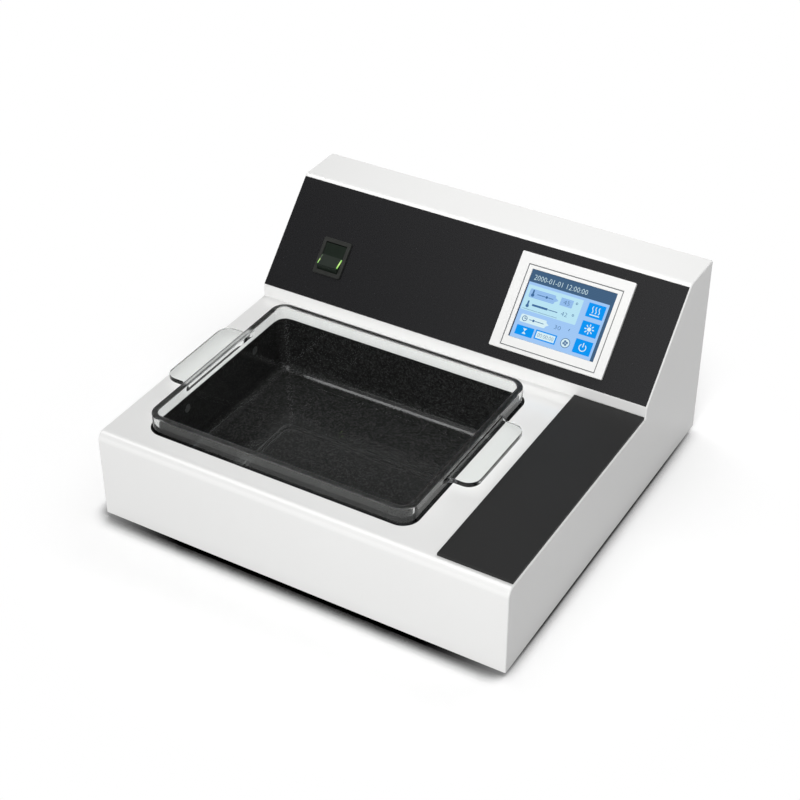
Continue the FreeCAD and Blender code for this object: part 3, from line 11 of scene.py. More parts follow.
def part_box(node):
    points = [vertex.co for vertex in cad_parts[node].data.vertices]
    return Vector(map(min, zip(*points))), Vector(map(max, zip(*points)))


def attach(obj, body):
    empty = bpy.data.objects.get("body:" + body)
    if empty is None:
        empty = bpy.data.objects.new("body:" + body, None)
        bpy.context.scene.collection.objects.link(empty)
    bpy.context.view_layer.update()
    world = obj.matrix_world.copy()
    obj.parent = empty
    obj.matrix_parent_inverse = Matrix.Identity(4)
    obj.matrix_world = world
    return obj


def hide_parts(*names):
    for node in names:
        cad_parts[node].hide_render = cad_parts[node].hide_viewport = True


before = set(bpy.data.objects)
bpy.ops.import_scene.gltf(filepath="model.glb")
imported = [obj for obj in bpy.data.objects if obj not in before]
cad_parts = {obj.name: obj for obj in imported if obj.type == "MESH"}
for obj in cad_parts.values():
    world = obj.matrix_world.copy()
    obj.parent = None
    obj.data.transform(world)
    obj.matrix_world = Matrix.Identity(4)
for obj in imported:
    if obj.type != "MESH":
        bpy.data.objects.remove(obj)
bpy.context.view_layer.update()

bl_info = {
    "name": "Flotation Bath Finishes",
    "version": (1, 0, 0),
    "blender": (4, 5, 0),
    "location": "3D View > Sidebar > Bath",
    "description": "Finishes the flotation bath: coats, glass, screen image, screw heads and stage",
    "category": "Object",
}

MM = 0.001

# A Mix node keeps its colour result in the third output
MIXED = 2

# A wave texture turns through this many radians in one unit of length
WAVE_TURN = 20


# Small tools

def linear(code):
    """Linear RGBA of an sRGB hex colour."""
    parts = [int(code[i:i + 2], 16) / 255 for i in (0, 2, 4)]
    return tuple(p / 12.92 if p <= 0.04045 else ((p + 0.055) / 1.055) ** 2.4 for p in parts) + (1.0,)


def per_mm(size):
    """Texture scale whose pattern repeats about every so many millimetres."""
    return 1 / (size * MM)


def per_band(size):
    """Scale of a wave texture whose bands lie so many millimetres apart."""
    return math.tau / WAVE_TURN / (size * MM)


def socket_named(sockets, key):
    """The socket with this identifier or, failing that, with this name."""
    found = [s for s in sockets if s.identifier == key] or [s for s in sockets if s.name == key]
    if not found:
        raise KeyError(f"no socket named {key}")
    return found[0]


def add(tree, kind, inputs=None, **settings):
    """Add a node, make its settings, then fill its inputs with values or with links from other sockets."""
    node = tree.nodes.new(kind)
    for name, value in settings.items():
        setattr(node, name, value)
    for key, value in (inputs or {}).items():
        socket = node.inputs[key] if isinstance(key, int) else socket_named(node.inputs, key)
        if isinstance(value, bpy.types.NodeSocket):
            tree.links.new(value, socket)
        else:
            socket.default_value = value
    return node


def blank(name):
    """Material of this name, found or new, with an empty node tree, and its Object coordinates."""
    material = bpy.data.materials.get(name) or bpy.data.materials.new(name)
    material.use_nodes = True
    tree = material.node_tree
    tree.nodes.clear()
    return material, tree, add(tree, "ShaderNodeTexCoord").outputs["Object"]


def close(tree, inputs):
    """Principled surface of a material, with these inputs, and the material's output."""
    surface = add(tree, "ShaderNodeBsdfPrincipled", inputs)
    add(tree, "ShaderNodeOutputMaterial", {"Surface": surface.outputs["BSDF"]})


def coat(material, *names):
    """Give CAD nodes a finish."""
    for name in names:
        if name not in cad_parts:
            raise KeyError(f"the frame has no node {name}")
        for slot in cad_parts[name].material_slots:
            slot.material = material


def new_piece(name, mesh, material, body):
    """Finished piece at the origin, riding on a body."""
    piece = bpy.data.objects.new(name, mesh)
    bpy.context.scene.collection.objects.link(piece)
    mesh.materials.clear()
    mesh.materials.append(material)
    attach(piece, body)
    return piece


def soften(mesh):
    """Smooth shading that keeps edges sharp where faces meet at a steep angle."""
    mesh.polygons.foreach_set("use_smooth", [True] * len(mesh.polygons))
    mesh.set_sharp_from_angle(angle=math.radians(32))


# Sizes and colours that a user would change

def colour_setting(name, description, code):
    """Colour property whose default is an sRGB hex value."""
    return FloatVectorProperty(
        name=name, description=description, subtype="COLOR", size=4, min=0, max=1, default=linear(code))


class BathFinishSettings(bpy.types.PropertyGroup):
    """Colours and grain of the bath's surfaces."""
    coat_colour: colour_setting("Coat colour", "White of the powder-coated sheet steel", "F0F0EF")
    coat_grain: FloatProperty(
        name="Orange peel", description="Width of the ripples in the powder coat",
        unit="LENGTH", min=0.0002, max=0.01, default=1.4 * MM)
    overlay_colour: colour_setting("Overlay colour", "Near-black of the console's plastic sheet", "131315")
    plate_colour: colour_setting("Plate colour", "Black of the anodised slide plate", "2B2B2B")
    well_colour: colour_setting("Well colour", "Black of the well's non-stick hard coat", "1D1D1D")
    # The well floor's tone is lighter than the walls' as painted light from above
    well_floor_painted_light: colour_setting("Well floor", "Duller tone of the hard coat on the well's floor", "2D2D2D")
    well_grain: FloatProperty(
        name="Well grain", description="Width of the specks in the well's hard coat",
        unit="LENGTH", min=0.0002, max=0.01, default=1.5 * MM)
    glass_ior: FloatProperty(
        name="Glass IOR", description="Refractive index of the moulded borosilicate dish",
        min=1.3, max=1.7, default=1.473)


class BathScreenSettings(bpy.types.PropertyGroup):
    """Layout and colours of the picture on the touch screen."""
    header_height: FloatProperty(
        name="Header height", description="Height of the dark strip with the clock",
        unit="LENGTH", min=0.002, max=0.03, default=9.8 * MM)
    side_width: FloatProperty(
        name="Side strip", description="Width of the dark strip on the right",
        unit="LENGTH", min=0, max=0.01, default=2.8 * MM)
    film_thick: FloatProperty(
        name="Layer", description="Thickness of each layer of the picture",
        unit="LENGTH", min=0.00001, max=0.0002, default=0.03 * MM)
    seal_width: FloatProperty(
        name="Seal", description="Width of the grey seal round the touch panel",
        unit="LENGTH", min=0.0001, max=0.003, default=0.6 * MM)
    brightness: FloatProperty(
        name="Brightness", description="Strength of the screen's own light", min=0, max=2, default=0.92)
    clock_text: StringProperty(
        name="Clock", description="Plain digits in the header", default="2000-01-01 12:00:00")
    header_colour: colour_setting("Header", "Slate blue of the header strip", "426181")
    body_colour: colour_setting("Background", "Light blue behind the fields", "A4CCFB")
    panel_colour: colour_setting("Panel", "Pale cyan behind the readings", "BFEAFA")
    button_colour: colour_setting("Buttons", "Azure of the touch buttons", "0096F6")


class BathScrewSettings(bpy.types.PropertyGroup):
    """Head sizes of the cross-head screws."""
    small_head: FloatProperty(
        name="M3 head radius", description="Head radius of the M3 pan-head screws",
        unit="LENGTH", min=0.001, max=0.01, default=2.8 * MM)
    small_height: FloatProperty(
        name="M3 head height", description="Head height of the M3 pan-head screws",
        unit="LENGTH", min=0.0005, max=0.01, default=1.9 * MM)
    large_head: FloatProperty(
        name="M4 head radius", description="Head radius of the M4 pan-head screws",
        unit="LENGTH", min=0.001, max=0.01, default=3.9 * MM)
    large_height: FloatProperty(
        name="M4 head height", description="Head height of the M4 pan-head screws",
        unit="LENGTH", min=0.0005, max=0.01, default=2.4 * MM)


class BathStageSettings(bpy.types.PropertyGroup):
    """Floor, lamps and camera."""
    floor_size: FloatProperty(
        name="Floor", description="Side of the pale floor", unit="LENGTH", min=1, max=50, default=12.0)
    sky_light: FloatProperty(
        name="Sky", description="Even light from all round", min=0, max=2, default=0.29)
    wall_light: FloatProperty(
        name="Wall light", description="Light from the low wall behind on the left",
        min=0, max=3, default=1.4)
    key_power: FloatProperty(
        name="Key lamp", description="Power of the lamp at the front",
        unit="POWER", min=0, max=500, default=31.5)
    key_size: FloatProperty(
        name="Key size", description="Side of the lamp at the front",
        unit="LENGTH", min=0.1, max=5, default=0.8)
    fill_power: FloatProperty(
        name="Fill lamp", description="Power of the lamp over the console",
        unit="POWER", min=0, max=500, default=0.92)
    fill_size: FloatProperty(
        name="Fill size", description="Width of the lamp over the console",
        unit="LENGTH", min=0.1, max=5, default=0.6)
    ceiling: FloatProperty(
        name="Ceiling", description="How bright reflections see the studio's ceiling",
        min=0, max=1, default=0.1)
    back_wall: FloatProperty(
        name="Back wall", description="How bright reflections see the studio's back wall",
        min=0, max=1, default=0.1)
    softbox: FloatProperty(
        name="Softbox", description="How bright reflections see the softbox overhead",
        min=0, max=20, default=2.5)
    near_floor: FloatProperty(
        name="Near floor", description="How pale the floor is round the bath's shadow",
        min=0, max=2, default=1.17)
    # The dark line that this reaches is a painted contact shadow on the floor
    contact: FloatProperty(
        name="Contact shade", description="Reach of the dark line where the bath stands close to the floor",
        unit="LENGTH", min=0.001, max=0.2, default=0.019)
    lens: FloatProperty(
        name="Lens", description="Focal length on a 36 mm sensor", min=20, max=300, default=78.994)


# Materials. Each has one function; patterns are sized in millimetres.

def grained(name, dark, light, grain, depth, smooth, rough, broad=60.0, **shader):
    """Surface that drifts between two near tones, with gloss and relief from one fine grain.
    The grain's width and depth, and the breadth of the drift, are in millimetres."""
    material, tree, place = blank(name)
    fine = add(tree, "ShaderNodeTexNoise", {"Vector": place, "Scale": per_mm(grain), "Detail": 2.0})
    wide = add(tree, "ShaderNodeTexNoise", {"Vector": place, "Scale": per_mm(broad), "Detail": 3.0})
    tone = add(tree, "ShaderNodeMix", {
        "Factor_Float": wide.outputs["Fac"], "A_Color": dark, "B_Color": light}, data_type="RGBA")
    gloss = add(tree, "ShaderNodeMapRange", {
        "Value": fine.outputs["Fac"], "To Min": smooth, "To Max": rough})
    relief = add(tree, "ShaderNodeBump", {"Height": fine.outputs["Fac"], "Distance": depth * MM})
    inputs = {
        "Base Color": tone.outputs[MIXED],
        "Roughness": gloss.outputs["Result"],
        "Normal": relief.outputs["Normal"],
    }
    inputs.update({key.replace("_", " "): value for key, value in shader.items()})
    close(tree, inputs)
    return material


def tinted(colour, share):
    """A colour made lighter (share over 1) or darker."""
    return tuple(min(1.0, part * share) for part in colour[:3]) + (1.0,)


def powder_coat(settings):
    """Satin white polyester powder baked on steel: soft reflections broken by a faint orange peel."""
    colour = settings.coat_colour
    return grained(
        "PowderCoat_White_Satin", tinted(colour, 0.985), tinted(colour, 1.01),
        grain=settings.coat_grain / MM, depth=0.003, smooth=0.09, rough=0.14, Specular_IOR_Level=0.75)


def overlay_sheet(settings):
    """Black polycarbonate sheet with a velvet front: matt, with a very fine even texture."""
    colour = settings.overlay_colour
    return grained(
        "Polycarbonate_Black_Velvet", tinted(colour, 0.85), tinted(colour, 1.15),
        grain=0.8, depth=0.004, smooth=0.22, rough=0.32, broad=90.0, Specular_IOR_Level=0.45)


def white_abs(settings):
    """White ABS moulding with a fine spark-eroded texture."""
    colour = settings.coat_colour
    return grained(
        "ABS_White_Moulded", tinted(colour, 0.94), tinted(colour, 0.98),
        grain=0.9, depth=0.008, smooth=0.35, rough=0.5, broad=40.0)


def black_nylon():
    """Glass-filled black nylon, moulded: dull, with faint grey flecks."""
    return grained(
        "Nylon_Black_Moulded", linear("252624"), linear("313230"),
        grain=0.7, depth=0.01, smooth=0.38, rough=0.55, broad=6.0, Specular_IOR_Level=0.25)


def smoked_rocker():
    """Smoked polycarbonate rocker: smooth, dark green-grey, clear enough to glow faintly at its edges."""
    return grained(
        "Polycarbonate_Smoked_Rocker", linear("1C221D"), linear("252C26"),
        grain=4.0, depth=0.004, smooth=0.14, rough=0.22, broad=9.0, Specular_IOR_Level=0.06)


def anodised_plate(settings):
    """Bead-blasted, black anodised aluminium plate: even dull black with a fine grit."""
    colour = settings.plate_colour
    return grained(
        "Aluminium_Black_Anodised_Blasted", tinted(colour, 0.9), tinted(colour, 1.1),
        grain=0.8, depth=0.012, smooth=0.5, rough=0.66, broad=80.0, Specular_IOR_Level=0.2)


def hard_coat(settings):
    """Non-stick hard coat sprayed on aluminium: black, pebbled, with pale specks. The floor is drawn in a
    lighter dark grey than the walls, which is painted light from above. Real specks are finer than the
    picture can show, so they are drawn over a millimetre wide."""
    material, tree, place = blank("HardCoat_Black_Speckled")
    grain = add(tree, "ShaderNodeTexNoise", {
        "Vector": place, "Scale": per_mm(settings.well_grain / MM), "Detail": 4.0, "Roughness": 0.7})
    specks = add(tree, "ShaderNodeMapRange", {
        "Value": grain.outputs["Fac"], "From Min": 0.45, "From Max": 0.7})
    wall = add(tree, "ShaderNodeMix", {
        "Factor_Float": specks.outputs["Result"], "A_Color": tinted(settings.well_colour, 0.4),
        "B_Color": tinted(settings.well_colour, 3.0)}, data_type="RGBA")
    # The floor's lighter tone is painted light, standing in for the light that falls on it from above
    floor = add(tree, "ShaderNodeMix", {
        "Factor_Float": specks.outputs["Result"], "A_Color": tinted(settings.well_floor_painted_light, 0.5),
        "B_Color": tinted(settings.well_floor_painted_light, 2.2)}, data_type="RGBA")
    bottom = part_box("heated_well")[0].z
    height = add(tree, "ShaderNodeSeparateXYZ", {"Vector": place}).outputs["Z"]
    lit_floor_to_wall = add(tree, "ShaderNodeMapRange", {
        "Value": height, "From Min": bottom + 3.0 * MM, "From Max": bottom + 16.0 * MM})
    tone = add(tree, "ShaderNodeMix", {
        "Factor_Float": lit_floor_to_wall.outputs["Result"], "A_Color": floor.outputs[MIXED],
        "B_Color": wall.outputs[MIXED]}, data_type="RGBA")
    gloss = add(tree, "ShaderNodeMapRange", {
        "Value": grain.outputs["Fac"], "To Min": 0.45, "To Max": 0.65})
    relief = add(tree, "ShaderNodeBump", {"Height": grain.outputs["Fac"], "Distance": 0.05 * MM})
    close(tree, {
        "Base Color": tone.outputs[MIXED], "Roughness": gloss.outputs["Result"],
        "Normal": relief.outputs["Normal"], "Specular IOR Level": 0.03})
    return material


def moulded_glass(settings):
    """Clear borosilicate, pressed in a mould: bright edges, faint waves and a trace of grey-green.
    The top of the rim is ground flat and only half polished again, so it stays a little dull."""
    material, tree, place = blank("Borosilicate_Clear_Pressed")
    wave = add(tree, "ShaderNodeTexNoise", {"Vector": place, "Scale": per_mm(22.0), "Detail": 1.0})
    tone = add(tree, "ShaderNodeMix", {
        "Factor_Float": wave.outputs["Fac"], "A_Color": linear("F5F7F6"), "B_Color": linear("F9FBFA")},
        data_type="RGBA")
    relief = add(tree, "ShaderNodeBump", {"Height": wave.outputs["Fac"], "Distance": 0.02 * MM})
    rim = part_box("glass_dish")[1].z
    height = add(tree, "ShaderNodeSeparateXYZ", {"Vector": place}).outputs["Z"]
    dull = add(tree, "ShaderNodeMapRange", {
        "Value": height, "From Min": rim - 2.5 * MM, "From Max": rim - 0.4 * MM, "To Max": 0.5})
    close(tree, {
        "Base Color": tone.outputs[MIXED], "Roughness": dull.outputs["Result"], "IOR": settings.glass_ior,
        "Transmission Weight": 1.0, "Normal": relief.outputs["Normal"]})
    return material


def lamp_lens():
    """Frosted acrylic lens over the well's lamp: milky, with a soft dimple pattern."""
    return grained(
        "Acrylic_Frosted_Lens", linear("2E302F"), linear("484A49"),
        grain=1.2, depth=0.03, smooth=0.2, rough=0.4, broad=4.0)


def zinc_plate():
    """Bright zinc plating on steel fasteners: silver with a cool cast and a fine crystalline mottle."""
    return grained(
        "Steel_ZincPlated_Bright", linear("B9BDC0"), linear("D2D5D6"),
        grain=0.7, depth=0.006, smooth=0.24, rough=0.42, broad=3.0, Metallic=1.0)


def galvanised():
    """Hot-dip galvanised sheet: flat grey spangles, each with its own tone and gloss."""
    material, tree, place = blank("Steel_Galvanised_Spangled")
    cells = add(tree, "ShaderNodeTexVoronoi", {"Vector": place, "Scale": per_mm(7.0)})
    tone = add(tree, "ShaderNodeMix", {
        "Factor_Float": cells.outputs["Color"], "A_Color": linear("9CA0A2"), "B_Color": linear("C4C8C9")},
        data_type="RGBA")
    gloss = add(tree, "ShaderNodeMapRange", {
        "Value": cells.outputs["Color"], "To Min": 0.3, "To Max": 0.55})
    close(tree, {
        "Base Color": tone.outputs[MIXED], "Roughness": gloss.outputs["Result"], "Metallic": 1.0})
    return material


def rubber():
    """Moulded black rubber: deep, dull, slightly dusty."""
    return grained(
        "Rubber_Black_Moulded", linear("161616"), linear("242423"),
        grain=0.8, depth=0.02, smooth=0.6, rough=0.8, broad=8.0, Specular_IOR_Level=0.3)


def silicone():
    """Grey silicone gasket: soft satin with a faint bloom."""
    return grained(
        "Silicone_Grey_Moulded", linear("5E6163"), linear("74777A"),
        grain=1.0, depth=0.01, smooth=0.4, rough=0.55, broad=12.0)


def heater_mat():
    """Silicone rubber heater mat over glass cloth: brick red, with the cloth's weave pressed into it."""
    material, tree, place = blank("SiliconeHeater_Red_Woven")
    across, along = (
        add(tree, "ShaderNodeTexWave", {"Vector": place, "Scale": per_band(1.6)}, bands_direction=axis)
        for axis in "XY")
    weave = add(tree, "ShaderNodeMath", {
        0: across.outputs["Fac"], 1: along.outputs["Fac"]}, operation="MULTIPLY")
    tone = add(tree, "ShaderNodeMix", {
        "Factor_Float": weave.outputs["Value"], "A_Color": linear("7E2F20"), "B_Color": linear("B4513A")},
        data_type="RGBA")
    relief = add(tree, "ShaderNodeBump", {"Height": weave.outputs["Value"], "Distance": 0.08 * MM})
    close(tree, {"Base Color": tone.outputs[MIXED], "Roughness": 0.55, "Normal": relief.outputs["Normal"]})
    return material


def glass_wool():
    """Needled glass-fibre board: cream, matted, with strands lying every way."""
    material, tree, place = blank("GlassFibre_Cream_Needled")
    strands = add(tree, "ShaderNodeTexNoise", {
        "Vector": place, "Scale": per_mm(3.0), "Detail": 6.0, "Roughness": 0.75, "Distortion": 2.0})
    tone = add(tree, "ShaderNodeMix", {
        "Factor_Float": strands.outputs["Fac"], "A_Color": linear("C9BE9C"), "B_Color": linear("F1EBD8")},
        data_type="RGBA")
    relief = add(tree, "ShaderNodeBump", {"Height": strands.outputs["Fac"], "Distance": 0.6 * MM})
    close(tree, {"Base Color": tone.outputs[MIXED], "Roughness": 0.9, "Normal": relief.outputs["Normal"]})
    return material


def brass():
    """Turned brass, nickel-flashed at the tips: warm metal with fine turning marks."""
    return grained(
        "Brass_Turned", linear("B8924A"), linear("D8B66C"),
        grain=0.6, depth=0.008, smooth=0.22, rough=0.38, broad=4.0, Metallic=1.0)


def circuit_board():
    """Green solder mask on glass-epoxy board: tracks show as paler lines under the lacquer."""
    material, tree, place = blank("GlassEpoxy_Green_SolderMask")
    tracks = add(tree, "ShaderNodeTexVoronoi", {
        "Vector": place, "Scale": per_mm(6.0)}, distance="MANHATTAN", feature="F1")
    lines = add(tree, "ShaderNodeMapRange", {
        "Value": tracks.outputs["Distance"], "From Min": 0.45, "From Max": 0.5})
    tone = add(tree, "ShaderNodeMix", {
        "Factor_Float": lines.outputs["Result"], "A_Color": linear("14532F"), "B_Color": linear("2E7C4B")},
        data_type="RGBA")
    relief = add(tree, "ShaderNodeBump", {"Height": lines.outputs["Result"], "Distance": 0.035 * MM})
    close(tree, {
        "Base Color": tone.outputs[MIXED], "Roughness": 0.3, "Normal": relief.outputs["Normal"]})
    return material


def epoxy():
    """Black epoxy moulding of electronic parts: matt with a fine mould texture."""
    return grained(
        "Epoxy_Black_Moulded", linear("1C1C1D"), linear("2A2A2B"),
        grain=0.6, depth=0.01, smooth=0.45, rough=0.6, broad=9.0)


def fuse_tube(node):
    """Glass fuse with plated caps: the caps are the tube's two ends, the glass lies between them."""
    low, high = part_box(node)
    cap = 5.0 * MM
    material, tree, place = blank("Fuse_Glass_NickelCaps")
    parts = add(tree, "ShaderNodeSeparateXYZ", {"Vector": place})
    at_front = add(tree, "ShaderNodeMath", {0: parts.outputs["Y"], 1: low.y + cap}, operation="LESS_THAN")
    at_back = add(tree, "ShaderNodeMath", {
        0: parts.outputs["Y"], 1: high.y - cap}, operation="GREATER_THAN")
    metal = add(tree, "ShaderNodeMath", {0: at_front.outputs[0], 1: at_back.outputs[0]}, operation="ADD")
    clear = add(tree, "ShaderNodeMath", {0: 1.0, 1: metal.outputs[0]}, operation="SUBTRACT")
    mottle = add(tree, "ShaderNodeTexNoise", {"Vector": place, "Scale": per_mm(1.0)})
    gloss = add(tree, "ShaderNodeMapRange", {"Value": mottle.outputs["Fac"], "To Min": 0.05, "To Max": 0.3})
    close(tree, {
        "Base Color": linear("D6D8D8"), "Metallic": metal.outputs[0],
        "Transmission Weight": clear.outputs[0], "Roughness": gloss.outputs["Result"]})
    return material


def lit(name, colour, other, strength):
    """Backlit liquid-crystal colour: rows of pixels run across it.
    Real rows are a fifth of a millimetre apart, and are drawn coarser so that they show."""
    material, tree, place = blank(name)
    rows = add(tree, "ShaderNodeTexWave", {"Vector": place, "Scale": per_band(0.9)}, bands_direction="Z")
    tone = add(tree, "ShaderNodeMix", {
        "Factor_Float": rows.outputs["Fac"], "A_Color": colour, "B_Color": other}, data_type="RGBA")
    close(tree, {
        "Base Color": linear("06080C"), "Roughness": 0.2, "Specular IOR Level": 0.05,
        "Emission Color": tone.outputs[MIXED], "Emission Strength": strength})
    return material


def green_light():
    """Light guide of the switch: yellow-green in the middle of each strip, deeper green towards its ends.
    The left strip shines only in its lower half, where the rocker doesn't shade it."""
    low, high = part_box("rocker_light")
    middle = (low + high) / 2
    material, tree, place = blank("Acrylic_Green_LightGuide")
    parts = add(tree, "ShaderNodeSeparateXYZ", {"Vector": place})
    away = add(tree, "ShaderNodeMath", {0: parts.outputs["Y"], 1: middle.y}, operation="SUBTRACT")
    size = add(tree, "ShaderNodeMath", {0: away.outputs[0]}, operation="ABSOLUTE")
    fade = add(tree, "ShaderNodeMapRange", {
        "Value": size.outputs[0], "From Min": 0.0, "From Max": (high.y - low.y) / 2})
    tone = add(tree, "ShaderNodeMix", {
        "Factor_Float": fade.outputs["Result"], "A_Color": linear("CDF58A"), "B_Color": linear("6FC043")},
        data_type="RGBA")
    shaded = add(tree, "ShaderNodeMapRange", {
        "Value": away.outputs[0], "From Min": -0.8 * MM, "From Max": 0.4 * MM,
        "To Min": 1.0, "To Max": 0.03})
    on_right = add(tree, "ShaderNodeMath", {0: parts.outputs["X"], 1: middle.x}, operation="GREATER_THAN")
    shine = add(tree, "ShaderNodeMath", {
        0: shaded.outputs["Result"], 1: on_right.outputs[0]}, operation="MAXIMUM")
    close(tree, {
        "Base Color": linear("1C3A14"), "Roughness": 0.25,
        "Emission Color": tone.outputs[MIXED], "Emission Strength": shine.outputs[0]})
    return material


# Places read from the frame

def islands(name):
    """Points of each separate solid in a CAD node."""
    work = bmesh.new()
    work.from_mesh(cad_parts[name].data)
    bmesh.ops.remove_doubles(work, verts=work.verts, dist=0.001 * MM)
    left = set(work.verts)
    groups = []
    while left:
        queue = [left.pop()]
        points = []
        while queue:
            vert = queue.pop()
            points.append(vert.co.copy())
            near = {edge.other_vert(vert) for edge in vert.link_edges} & left
            left -= near
            queue.extend(near)
        groups.append(points)
    work.free()
    return groups


def sloped_face(name):
    """Matrix of the outermost face of a node on the console (origin at its lower left corner, X to the
    right, Y up the slope, Z out of it), with the face's width and height."""
    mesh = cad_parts[name].data
    # Faces that look forwards and up, and to neither side
    facing = [p for p in mesh.polygons if abs(p.normal.x) < 0.01 and p.normal.y < -0.3 and p.normal.z > 0.3]
    out = max(facing, key=lambda p: p.area).normal.copy()
    right = Vector((1, 0, 0))
    up = out.cross(right)
    points = [mesh.vertices[i].co for p in facing if p.normal.dot(out) > 0.999 for i in p.vertices]
    level = max(point.dot(out) for point in points)
    top = [point for point in points if level - point.dot(out) < 0.01 * MM]
    xs = [point.dot(right) for point in top]
    ys = [point.dot(up) for point in top]
    corner = right * min(xs) + up * min(ys) + out * level
    matrix = Matrix((right, up, out)).transposed().to_4x4()
    matrix.translation = corner
    return matrix, max(xs) - min(xs), max(ys) - min(ys)


# Screen picture: flat slabs in layers on the display's face

def slab(work, outline, bottom, top):
    """Add a closed plate with this outline (points in metres, anticlockwise) between two heights."""
    count = len(outline)
    low = [work.verts.new((x, y, bottom)) for x, y in outline]
    high = [work.verts.new((x, y, top)) for x, y in outline]
    work.faces.new(high)
    work.faces.new(low[::-1])
    for k in range(count):
        work.faces.new((low[k], low[(k + 1) % count], high[(k + 1) % count], high[k]))


def polygon(*points):
    """Outline in metres of points given in millimetres."""
    return [(u * MM, v * MM) for u, v in points]


def arc_points(x, y, radius, start, stop, steps=14):
    """Points in metres along an arc that is given in millimetres and degrees."""
    angles = [math.radians(start + (stop - start) * k / steps) for k in range(steps + 1)]
    return polygon(*((x + radius * math.cos(a), y + radius * math.sin(a)) for a in angles))


def rectangle(left, bottom, right, top, corner=0.0):
    """Outline of a rectangle, with rounded corners where their radius isn't 0."""
    if corner == 0:
        return polygon((left, bottom), (right, bottom), (right, top), (left, top))
    centres = (
        (right - corner, bottom + corner, -90), (right - corner, top - corner, 0),
        (left + corner, top - corner, 90), (left + corner, bottom + corner, 180))
    return [point for x, y, start in centres for point in arc_points(x, y, corner, start, start + 90, 5)]


def arrow_chip(left, bottom, right, top, tip):
    """Outline of a label chip whose right end comes to a point."""
    outline = rectangle(left, bottom, right, top, corner=1.2)
    middle = (bottom + top) / 2
    half = (top - bottom) / 4
    nose = polygon((right, middle - half), (tip, middle), (right, middle + half))
    share = len(outline) // 4
    return outline[:share] + nose + outline[share:]


def disc(x, y, radius, steps=28):
    """Outline of a disc."""
    return arc_points(x, y, radius, 0, 360, steps)[:-1]


def ring_part(x, y, radius, width, start, stop):
    """Outline of part of a ring."""
    outer = arc_points(x, y, radius + width / 2, start, stop, 24)
    return outer + arc_points(x, y, radius - width / 2, stop, start, 24)


def thermometer(x, foot, height):
    """Outline of a thermometer: a bulb at the foot and a round-topped stem."""
    bulb, stem = 0.24 * height, 0.12 * height
    join = math.degrees(math.acos(stem / bulb))
    return (arc_points(x, foot + bulb, bulb, 180 - join, 360 + join)
            + arc_points(x, foot + height - stem, stem, 0, 180, 8))


def heat_wave(x, foot, height):
    """Outline of one wavy line of the warming sign."""
    steps = 16
    swing, half = 0.09 * height, 0.06 * height
    shares = [k / steps for k in range(steps + 1)]
    line = [(x + swing * math.sin(math.tau * share), foot + height * share) for share in shares]
    return polygon(*((u + half, v) for u, v in line), *((u - half, v) for u, v in reversed(line)))


def turned(outline, x, y, degrees):
    """An outline turned about a point given in millimetres."""
    c, s = math.cos(math.radians(degrees)), math.sin(math.radians(degrees))
    return [(x * MM + (u - x * MM) * c - (v - y * MM) * s, y * MM + (u - x * MM) * s + (v - y * MM) * c)
            for u, v in outline]


def dial_face(x, y, radius):
    """Outlines of a clock: its ring and two hands."""
    width = 0.24 * radius
    half, tip = width / 2, 0.62 * radius
    hands = polygon((x - half, y - half), (x + tip, y - half), (x + tip, y + half), (x + half, y + half),
                    (x + half, y + tip), (x - half, y + tip))
    return [ring_part(x, y, radius - half, width, 60, 418), hands]


def slider(left, right, y, at):
    """Outlines of a slider: two lengths of line and the knob between them."""
    gap, half, knob = 1.3, 0.25, 1.0
    return [rectangle(left, y - half, at - gap, y + half), rectangle(at + gap, y - half, right, y + half),
            disc(at, y, knob, 20)]


def screen_piece(name, work, material, matrix):
    """Piece on the face that the matrix gives, made of the faces in a work mesh."""
    mesh = bpy.data.meshes.new(name)
    work.to_mesh(mesh)
    work.free()
    mesh.transform(matrix)
    new_piece(name, mesh, material, "base")


def screen_layer(name, outlines, level, material, matrix, thick):
    """One layer of the picture, as closed plates."""
    work = bmesh.new()
    for outline in outlines:
        slab(work, outline, level * thick, (level + 1) * thick)
    screen_piece(name, work, material, matrix)


def screen_text(name, lines, level, material, matrix, thick):
    """Plain digits on the display: each line is text, left, foot, height and width in millimetres."""
    # Height of a digit as a share of the font's size
    digit = 0.7
    work = bmesh.new()
    for text, left, foot, height, width in lines:
        curve = bpy.data.curves.new(name, "FONT")
        curve.body = text
        curve.size = height / digit * MM
        curve.extrude = thick / 2
        curve.offset = -0.02 * height * MM
        curve.resolution_u = 2
        carrier = bpy.data.objects.new(name, curve)
        bpy.context.scene.collection.objects.link(carrier)
        bpy.context.view_layer.update()
        mesh = bpy.data.meshes.new_from_object(carrier.evaluated_get(bpy.context.evaluated_depsgraph_get()))
        xs = [vertex.co.x for vertex in mesh.vertices]
        stretch = width * MM / (max(xs) - min(xs))
        mesh.transform(Matrix.Translation((left * MM - min(xs) * stretch, foot * MM, (level + 0.5) * thick))
                       @ Matrix.Diagonal((stretch, 1, 1, 1)))
        work.from_mesh(mesh)
        bpy.data.objects.remove(carrier)
        bpy.data.curves.remove(curve)
        bpy.data.meshes.remove(mesh)
    bmesh.ops.remove_doubles(work, verts=work.verts, dist=0.001 * MM)
    screen_piece(name, work, material, matrix)


# Cross-head screws, made by one tree of geometry nodes

SCREW_SIZES = (
    "Head Radius", "Head Height", "Shank Radius", "Shank Length", "Recess Reach", "Recess Width",
    "Recess Depth", "Nut Flats", "Nut Height", "Nut Start")
LARGE_SHANK = 2.0 * MM
SMALL_SHANK = 1.5 * MM
NUT_FLATS = 7.0 * MM
# A solid shorter than this along a screw's axis is a nut
TALLEST_NUT = 4.0 * MM
# Steps of the head's rounded crown, in degrees
CROWN_STEPS = (30, 60, 90)


